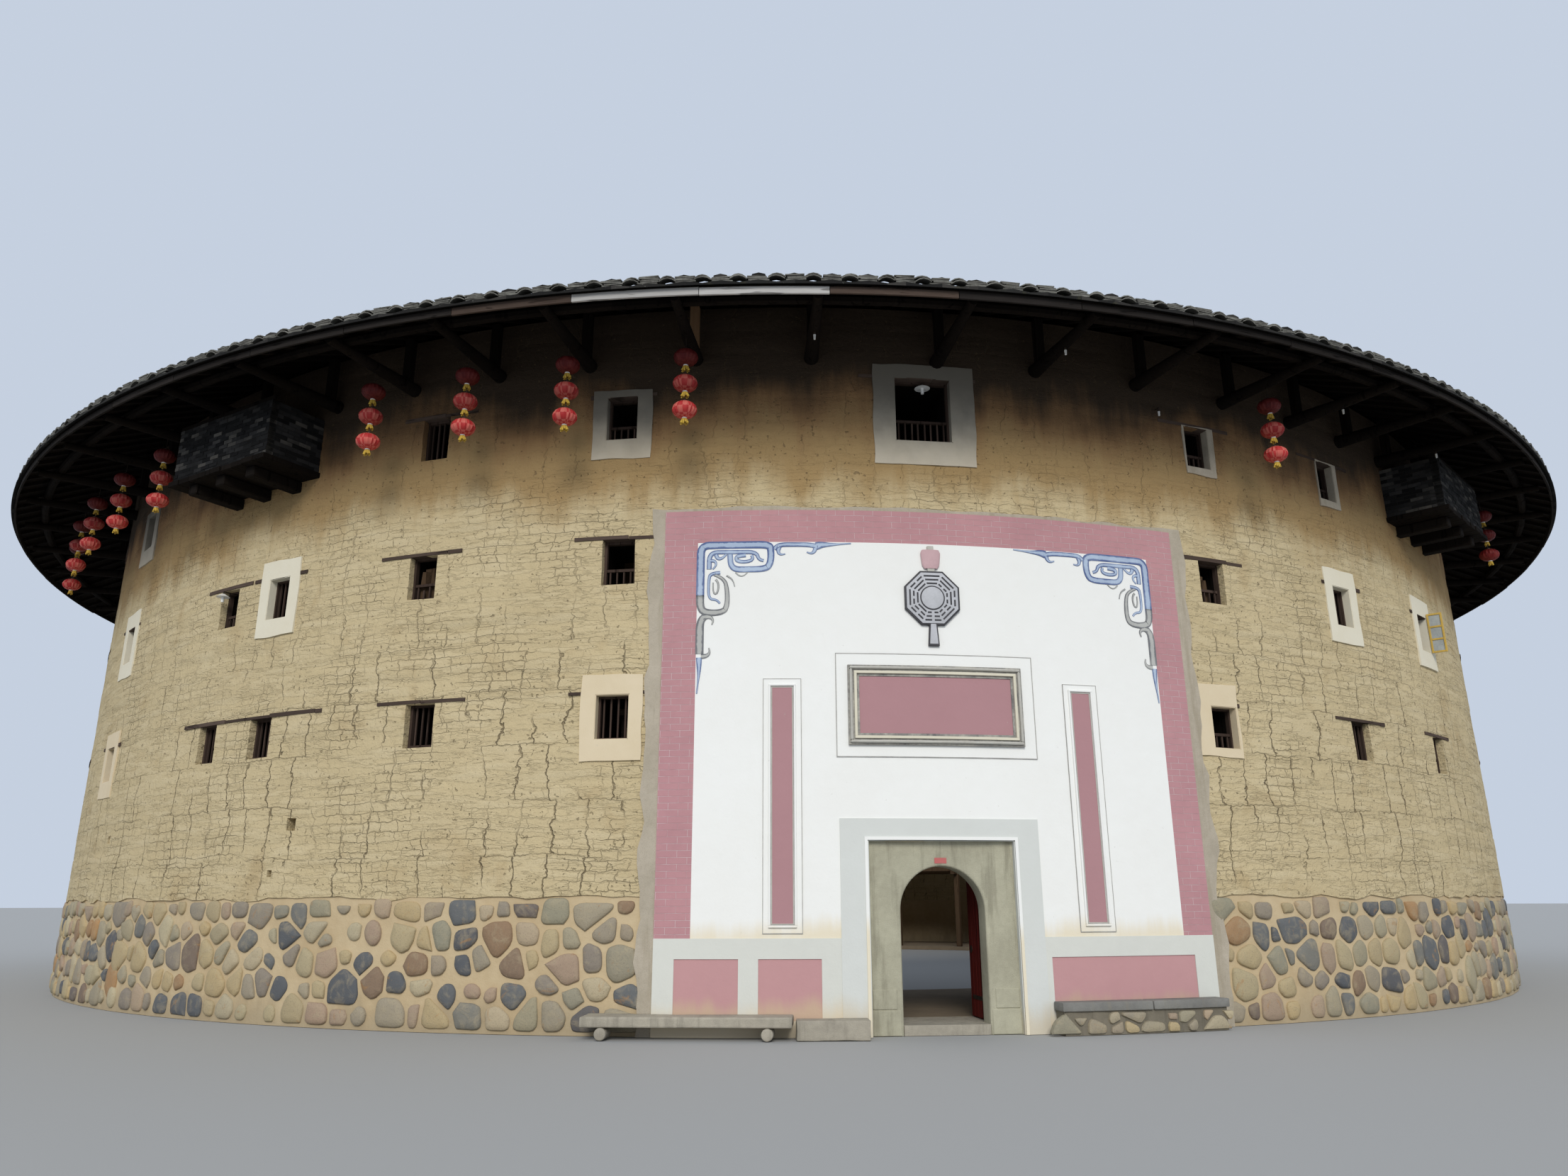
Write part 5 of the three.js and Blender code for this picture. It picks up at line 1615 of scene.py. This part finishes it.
def makePlaque():
    bm = newMesh()
    left, right, bottom, top = plaque["left"], plaque["right"], plaque["bottom"], plaque["top"]
    outer = (along(plaque["outerLeft"]), along(plaque["outerRight"]), plaque["outerBottom"], plaque["outerTop"])
    addPlate(bm, *outer, -0.052, -0.02, bevel=0.004, slot=4, step=0.3)
    # a thin grey line round the raised plate: painted shadow of its edge
    addFrame(bm, *outer, 0.012, -0.056, -0.03, 5)
    inset = 0.0  # mouldings from the rim inward: width, front, finish
    for width, near, slot in plaqueMouldings:
        addFrame(bm, left + inset, right - inset, bottom + inset, top - inset, width, near, -0.03, slot,
            bevel=0.014 if near == -0.14 else 0.003)
        inset += width
    addPlate(bm, left + inset, right - inset, bottom + inset, top - inset, -0.074, -0.03, slot=3, step=0.3)
    addPiece(bm, "namePlaque", [creamFinish, shadowLineMoulding, bandPale, plaquePink, whiteFinish, shadowLineFinish],
        ["name_plaque"])


def makeVersePanel(side, sign):
    bm = newMesh()
    middle = sign * verse["middle"]
    bottom, top, half = verse["bottom"], verse["top"], verse["half"]
    beside, below, above = verse["field"]
    addPlate(bm, middle - half - beside, middle + half + beside, bottom - below, top + above, -0.05, -0.02)
    for reach, width, near, slot in verseLines:  # grey lines, painted shadow along the frame's edges, and a moulding
        addFrame(bm, middle - half - reach, middle + half + reach, bottom - reach, top + reach + 0.02, width,
            near, -0.03, slot, bevel=0.006 if near == -0.078 else 0.0)
    addPlate(bm, middle - half, middle + half, bottom, top + 0.02, -0.054, -0.03, slot=1, step=0.3)
    addPiece(bm, f"versePanel_{side}", [whiteFinish, plaquePink, bandPale, shadowLineFinish],
        [f"verse_panel_{side}"])


emblem = {"height": 6.39, "flats": 0.88, "border": 0.032, "rings": (0.358, 0.297, 0.236), "bar": 0.025,
    "break": 0.022, "front": -0.0965, "ground": -0.088, "heart": 0.198, "heartLine": 0.02}
trigrams = ("111", "110", "010", "100", "000", "001", "101", "011")  # clockwise from the top, outer line first
cup = {"radii": (0.155, 0.17), "length": 0.31, "height": 7.03, "out": 0.066, "flatness": 0.16}
stems = ((6.8, 6.9, 0.057), (7.17, 7.25, 0.052))  # low, high, half width
# the handle's two plates: finish, front, foot, top, half widths at the top and the foot
handle = ((0, -0.086, 5.62, 5.975, 0.062, 0.088), (1, -0.093, 5.65, 5.97, 0.042, 0.066))


def addDisc(bm, radius, sides, near, back, height, turn=0.0, slot=0, bevel=0.0):
    # an upright plate facing outward from the middle of the front
    part = newMesh()
    where = (shift(0, -wallRadius + (near + back) / 2, height) @ spin(turn, "Y")
        @ spin(pi / 2, "X"))
    bmesh.ops.create_cone(part, cap_ends=True, segments=sides, radius1=radius, radius2=radius,
        depth=back - near)
    if bevel:
        ease(part, sharpEdges(part, 1.2), bevel)
    bmesh.ops.transform(part, matrix=where, verts=part.verts)
    merge(bm, part, 0.5, slot)


def makeEmblem():
    bm = newMesh()
    corner = emblem["flats"] / 2 / cos(pi / 8)
    height, front, ground = emblem["height"], emblem["front"], emblem["ground"]
    addDisc(bm, corner, 8, -0.085, -0.04, height, pi / 8, bevel=0.008)
    addDisc(bm, corner - emblem["border"], 8, -0.091, -0.06, height, pi / 8, slot=1, bevel=0.003)
    thin, gap = emblem["bar"] / 2, emblem["break"]
    for side, lines in enumerate(trigrams):
        where = shift(0, -wallRadius, height) @ spin(side * pi / 4, "Y")
        for line, reach in zip(lines, emblem["rings"]):
            half = reach * tan(pi / 8) * 0.86
            for a, b in ((-half, half),) if line == "1" else ((-half, -gap), (gap, half)):
                addBox(bm, (a, front, reach - thin), (b, ground, reach + thin), bevel=0.002, where=where)
    addDisc(bm, emblem["heart"], 40, front, ground, height, bevel=0.002)
    addDisc(bm, emblem["heart"] - emblem["heartLine"], 40, -0.1, ground, height, slot=1, bevel=0.002)
    # the barrel-shaped cup between two short stems
    part = newMesh()
    low, high = cup["radii"]
    bmesh.ops.create_cone(part, cap_ends=True, segments=20, radius1=low, radius2=high, depth=cup["length"])
    upright = [edge for edge in part.edges if abs(edge.verts[0].co.z - edge.verts[1].co.z) > 0.2]
    bmesh.ops.subdivide_edges(part, edges=upright, cuts=5)
    for vert in part.verts:
        level = vert.co.z / (cup["length"] / 2)
        reach = (1 - 0.20 * level ** 6) * (0.93 + 0.07 * level)
        vert.co = (vert.co.x * reach, -wallRadius - cup["out"] + vert.co.y * cup["flatness"],
            cup["height"] + vert.co.z)
    merge(bm, part, 0.5, 2)
    for low, high, half in stems:
        addBox(bm, (-half, -wallRadius - 0.08, low), (half, -wallRadius - 0.04, high), bevel=0.006, slot=3)
    for slot, near, low, high, narrow, wide in handle:
        part = newMesh()
        verts = bmesh.ops.create_cube(part, size=1.0)["verts"]
        for vert in verts:
            foot = vert.co.z < 0
            vert.co.x = copysign(wide if foot else narrow, vert.co.x)
            vert.co.y = -wallRadius + (near if vert.co.y < 0 else -0.04)
            vert.co.z = low if foot else high
        ease(part, part.edges[:], 0.004, 1)
        merge(bm, part, 0.5, slot)
    addPiece(bm, "octagonEmblem", [emblemDark, emblemPale, cupFinish, bandPale],
        ["octagon_emblem"])


scroll = {"front": -0.050, "back": -0.034, "unit": 0.01, "brush": 0.015, "rounding": 0.07}
# Brush strokes of the left corner, in centimetres to the right of it and down from it: points, the brush's
# width at the start and at the end, and whether the blue has weathered to grey. The right corner mirrors them.
strokes = [
    ([(5, 92), (5, 4.5), (112, 4.5), (116, 12), (115, 38), (105, 45), (53, 45), (51, 20)],
        8.5, 6, False),
    ([(18.5, 44), (18.5, 16), (93, 16.5), (96, 29), (104, 31)], 5, 3, False),
    ([(29, 20), (31, 26.5), (38, 27.5), (45, 20)], 4.5, 2, False),
    ([(76, 21.5), (64, 22.5), (60, 27), (64, 32.5), (82, 32.5), (88, 27), (85, 22)],
        4.5, 3, False),
    ([(20, 30), (28, 30), (30, 38), (24, 44)], 3.5, 1.5, False),
    ([(60, 50), (66, 56), (73, 56), (79, 50)], 1.2, 0.8, True),
    ([(5, 86), (5, 106), (13, 115), (40, 115), (48, 105), (47, 74), (42, 60), (27, 53)],
        8.5, 3, True),
    ([(36, 50), (21, 51), (18, 60), (18, 93), (31, 93.5), (36, 100)], 3.5, 2, False),
    ([(29, 61), (33.5, 66), (33.5, 80), (29, 86), (25, 81), (25, 66)], 2.2, 1.2, True),
    ([(46, 55), (56, 61), (59, 73)], 1.6, 0.8, True),
    ([(121, 12), (127, 4.5), (176, 4.5), (186, 7)], 4.5, 5, False),
    ([(129, 7), (126, 15), (130, 22), (138, 20)], 5, 1.2, False),
    ([(186, 6), (185, 15), (179, 20), (172, 17)], 5, 1.2, False),
    ([(187, 7), (195, 4.5), (212, 4.5), (242, 2)], 8.5, 1.2, False),
    ([(14, 120), (5.5, 127), (5.5, 180)], 7, 8.5, True),
    ([(10, 122), (20, 120), (27, 127), (24, 134)], 5.5, 1.2, True),
    ([(8, 184), (17, 184), (22, 178), (20, 171)], 5, 1.2, True),
    ([(5, 186), (5.5, 200), (5, 216), (2.5, 242)], 6, 1.2, False),
]


def roundedPath(points):
    # corners of a path cut three times, so that strokes turn as brushed ones do
    for number in range(3):
        cut = [points[0]]
        for k in range(1, len(points) - 1):
            before, here, after = points[k - 1], points[k], points[k + 1]
            for other in (before, after):
                way = other - here
                cut.append(here + way.normalized() * min(scroll["rounding"] / (number + 1), way.length * 0.3))
        points = cut + [points[-1]]
    return points


def addStroke(bm, points, first, last, slot=0):
    # a brushed ribbon along a path on the flat elevation, laid on the plaster
    part = newMesh()
    layer = part.loops.layers.uv["flat"]
    sides = []
    for k, point in enumerate(points):
        before, after = points[max(0, k - 1)], points[min(len(points) - 1, k + 1)]
        way = (after - before).normalized()
        half = (first + (last - first) * k / (len(points) - 1)) / 2
        across = Vector((-way.y, way.x)) * half
        sides.append([part.verts.new((point.x + s * across.x, 0, point.y + s * across.y)) for s in (1, -1)])
    for k in range(len(sides) - 1):
        (a, b), (c, d) = sides[k], sides[k + 1]
        face = part.faces.new((a, b, d, c))
        for loop, value in zip(face.loops, ((k, 0), (k, 1), (k + 1, 1), (k + 1, 0))):
            loop[layer].uv = value
    thicken(part, scroll["front"], scroll["back"])
    bend(part)
    merge(bm, part, 0.5, slot)


def makeScrolls():
    bm = newMesh()
    unit, high, brush = scroll["unit"], front["whiteTop"], scroll["brush"]
    for sign, edge in ((1, along(front["whiteLeft"])), (-1, along(front["whiteRight"]))):
        for points, first, last, grey in strokes:
            path = roundedPath([Vector((edge + sign * x * unit, high - z * unit)) for x, z in points])
            addStroke(bm, path, first * brush, last * brush, slot=1 if grey else 0)
    addPiece(bm, "cornerScrolls", [bluePaint, greyPaint])


makePlasterFront()
makePlaque()
makeVersePanel("left", -1)
makeVersePanel("right", 1)
makeEmblem()
makeScrolls()
print("plaster front painted")


def refined(node, bevel, grit, cuts, seed):
    # the frame's own solid, merged, with eased edges and an uneven dressed face
    bm = newMesh()
    bm.from_mesh(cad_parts[node].data)
    bmesh.ops.remove_doubles(bm, verts=bm.verts, dist=1e-5)
    bmesh.ops.dissolve_limit(bm, angle_limit=radians(1), verts=bm.verts[:], edges=bm.edges[:])
    bmesh.ops.scale(bm, vec=(1 / metre,) * 3, verts=bm.verts)
    ease(bm, sharpEdges(bm, radians(25)), bevel)
    bmesh.ops.triangulate(bm, faces=bm.faces)
    for _ in range(cuts):
        long = [edge for edge in bm.edges if edge.calc_length() > 0.14]
        bmesh.ops.subdivide_edges(bm, edges=long, cuts=1)
        bmesh.ops.triangulate(bm, faces=bm.faces)
    middle = sum((vert.co for vert in bm.verts), Vector()) / len(bm.verts)
    for vert in bm.verts:
        inward = (middle - vert.co).normalized()
        vert.co += inward * abs(noise.noise(vert.co * 3.0 + Vector((seed, 0, 0)))) * grit
    tint(bm, bm.verts, 0.5)
    return bm


def makeSeats():
    for node, name, *dressing in (("bench_slab", "benchSlab", 0.02, 0.03, 4, 1.0),
            ("granite_block", "graniteBlock", 0.025, 0.03, 4, 2.0),
            ("bench_roller_left", "benchRoller_left", 0.02, 0.012, 2, 3.0),
            ("bench_roller_right", "benchRoller_right", 0.02, 0.012, 2, 3.0)):
        addPiece(refined(node, *dressing), name, graniteFinish, [node])


makeSeats()


rightSeat = {"left": 4.67, "right": 12.79, "front": -0.375, "back": -0.064, "top": 0.44, "slab": 0.12,
    "joint": 8.9, "crack": 0.008, "stones": 0.3}


def makeRightSeat():
    # two lengths of slab on a low bank of cobbles
    left, right, joint = (along(rightSeat[key]) for key in ("left", "right", "joint"))
    under = rightSeat["top"] - rightSeat["slab"]
    bm = newMesh()
    addPlate(bm, left + 0.03, right - 0.03, 0, under, rightSeat["front"] + 0.05, rightSeat["back"], slot=1)
    stones = makeStones(left + 0.04, right - 0.04, 0.0, under, rightSeat["stones"], 2, "seat",
        rightSeat["front"] + 0.055, joint=0.03, bulge=0.05)
    bend(stones)
    merge(bm, stones)
    for a, b in ((left, joint - rightSeat["crack"]), (joint + rightSeat["crack"], right)):
        part = flatSheet(a, b, under, rightSeat["top"], 0.12)
        thicken(part, rightSeat["front"], rightSeat["back"])
        ease(part, sharpEdges(part), 0.014)
        for vert in part.verts:
            if vert.co.y < -0.2:  # the outer edge is worn
                vert.co.y += abs(noise.noise(vert.co * 2.7)) * 0.03
        hang(bm, part, 0.5, 2)
    addPiece(bm, "rightSeat", [cobbleFinish, gapFinish, slateFinish], ["cobble_seat"])


makeRightSeat()


arch = {"half": 0.63, "spring": 1.69, "edge": 0.03, "steps": 28}
# stones at the foot of a jamb: low, high, inner, outer
wedges = ((0.0, 0.34, 0.66, 1.09), (0.35, 0.62, 0.72, 1.08))


def makeDoorFrame():
    # one stone front with an arched way, its arris rounded, and wedge stones at the foot of each jamb
    bm = newMesh()
    near, back, top = -doorRecess["front"], -doorRecess["back"], doorRecess["top"] - 0.001
    side, reach, spring, steps = doorRecess["half"] - 0.001, arch["half"], arch["spring"], arch["steps"]
    outline = [(side, 0), (side, top), (-side, top), (-side, 0), (-reach, 0)]
    outline += [(-reach * cos(pi * k / steps), spring + reach * sin(pi * k / steps))
        for k in range(steps + 1)]
    bm.faces.new([bm.verts.new((x, near, z)) for x, z in outline + [(reach, 0)]])
    thicken(bm, 0.0, back - near)
    # the front edge of the way, but not the one along the ground
    arris = [edge for edge in bm.edges
        if all(abs(vert.co.y - near) < 1e-4 and abs(vert.co.x) < reach + 1e-3
            and vert.co.z < spring + reach + 0.01 for vert in edge.verts)
        and edge.calc_length() < spring + 0.1 and edge.verts[0].co.z + edge.verts[1].co.z > 0]
    ease(bm, arris, arch["edge"], 3)
    bmesh.ops.triangulate(bm, faces=bm.faces[:])
    tint(bm, bm.verts, 0.4)
    for sign in (-1, 1):
        for low, high, inner, outer in wedges:
            left, right = sorted((sign * inner, sign * outer))
            addBox(bm, (left, near - 0.012, low), (right, near + 0.05, high), bevel=0.01, tone=0.8)
    addBox(bm, (-0.1, near - 0.006, 2.36), (0.08, near + 0.01, 2.44), slot=1)  # a strip of red paper
    addPiece(bm, "doorFrame", [frameStone, redPaper], ["door_frame"])


leaf = {"thickness": 0.066, "pin": (0.72, -18.53), "pinRadius": 0.028, "stileRadius": 0.041, "boards": 4,
    "gap": 0.003, "foot": 0.014, "head": 0.06, "strapAt": 0.28, "strap": 0.03, "strapProud": 0.005,
    "ringHeight": 1.12, "ringRadius": 0.055}


def makeDoorLeaf(side):
    # boards on the hinge stile, with iron straps and a ring
    bm = newMesh()
    low, high = realBox(f"door_leaf_{side}")
    sign = -1 if side == "left" else 1
    middle, half = (low.x + high.x) / 2, leaf["thickness"] / 2
    x, y = sign * leaf["pin"][0], leaf["pin"][1]
    bottom, top = low.z + leaf["foot"], high.z - leaf["head"]
    addRod(bm, (x, y, low.z + 0.004), (x, y, high.z - 0.004), leaf["pinRadius"], sides=16, tone=0.7)
    addRod(bm, (x, y, bottom), (x, y, top), leaf["stileRadius"], sides=16, tone=0.4)
    start, end = y + 0.035, high.y if abs(high.y) < abs(low.y) else low.y
    width = (end - start) / leaf["boards"]
    rng = random.Random("leaf" + side)
    for k in range(leaf["boards"]):
        addBox(bm, (middle - half, start + k * width + leaf["gap"], bottom),
            (middle + half, start + (k + 1) * width - leaf["gap"], top), bevel=0.006, tone=rng.random())
    core = half - 0.01  # closes the gaps between the boards
    addBox(bm, (middle - core, start, bottom + 0.02), (middle + core, end - 0.01, top - 0.02), tone=0.6)
    face = middle - sign * half  # the side that faces out when the door is shut
    near, far = sorted((face, face - sign * leaf["strapProud"]))
    for height in (bottom + leaf["strapAt"], top - leaf["strapAt"]):
        addBox(bm, (near, start + 0.02, height - leaf["strap"]), (far, end - 0.1, height + leaf["strap"]),
            bevel=0.002, slot=1)
    plate = face - sign * 0.0035
    ring = (end - 0.12, leaf["ringHeight"])
    addRod(bm, (plate - 0.0035, *ring), (plate + 0.0035, *ring), leaf["ringRadius"], sides=20, slot=1)
    addPiece(bm, f"doorLeaf_{side}", [doorPaint, ironFinish], [f"door_leaf_{side}"],
        body=f"{side}_leaf")


makeDoorFrame()
for side in ("left", "right"):
    makeDoorLeaf(side)
print("doorway built")


gallery = {"bays": 31, "post": 0.19, "outer": 12.8, "plateDrop": 0.42, "rails": ((0.95, 0.09), (0.14, 0.07)),
    "railHalf": 0.04, "baluster": 0.045, "balusters": 14, "balusterEnds": (0.12, 0.87)}


def makeGallery(side):
    rng = random.Random("gallery" + side)
    bm = newMesh()
    pitch = 360 / gallery["bays"]
    half, thin, deep = gallery["post"] / 2, gallery["baluster"] / 2, gallery["railHalf"]
    radius = gallery["outer"] - half
    plate = roofTopAt(radius) - gallery["plateDrop"]
    levels = [groundTop] + floorTops + [plate]
    width = 2 * radius * tan(radians(pitch / 2))
    clear = width / 2 - half * 0.6  # rails and balusters reach this far from the middle of a bay
    foot, head = gallery["balusterEnds"]
    for k in range(gallery["bays"]):
        if not onSide(k * pitch, side):
            continue
        where = turned(k * pitch, 0, -radius)
        middle = turned(k * pitch + pitch / 2, 0, -radius)
        for low, high in zip(levels, levels[1:]):
            addBox(bm, (-half, -half, low), (half, half, high - (0.2 if high < plate else 0)), bevel=0.018,
                where=where, tone=rng.random())
        for floor in floorTops:
            addBox(bm, (-width / 2, -half - 0.06, floor - 0.22), (width / 2, half + 0.05, floor - 0.002),
                bevel=0.012, where=middle, tone=rng.random())
            # a joist end under each post
            addBox(bm, (-0.08, -0.3, floor - 0.36), (0.08, 0.42, floor - 0.2), bevel=0.01, where=where,
                tone=rng.random())
            for height, depth in gallery["rails"]:
                addBox(bm, (-clear, -deep, floor + height - depth), (clear, deep, floor + height), bevel=0.008,
                    where=middle, tone=rng.random())
            for b in range(gallery["balusters"]):
                x = -clear + (b + 0.5) * 2 * clear / gallery["balusters"]
                addBox(bm, (x - thin, -thin, floor + foot), (x + thin, thin, floor + head), where=middle,
                    tone=rng.random())
        addBox(bm, (-width / 2, -half, plate - 0.02), (width / 2, half, plate + 0.2), bevel=0.012, where=middle,
            tone=rng.random())
    addPiece(bm, f"galleryTimber_{side}", galleryTimber, [f"gallery_{side}"])


for side in sides:
    makeGallery(side)
print("galleries framed")


def dress(node, material):
    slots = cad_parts[node].data.materials
    slots.clear()
    slots.append(material)


for node in ("second_floor", "third_floor", "fourth_floor"):
    dress(node, boardTimber)
# dark beaten earth: the courtyard floor's colour with painted shade, so the doorway shows dark
dress("ground_floor", beatenEarth)
dress("door_sill", graniteFinish)
print("carried-over solids dressed")
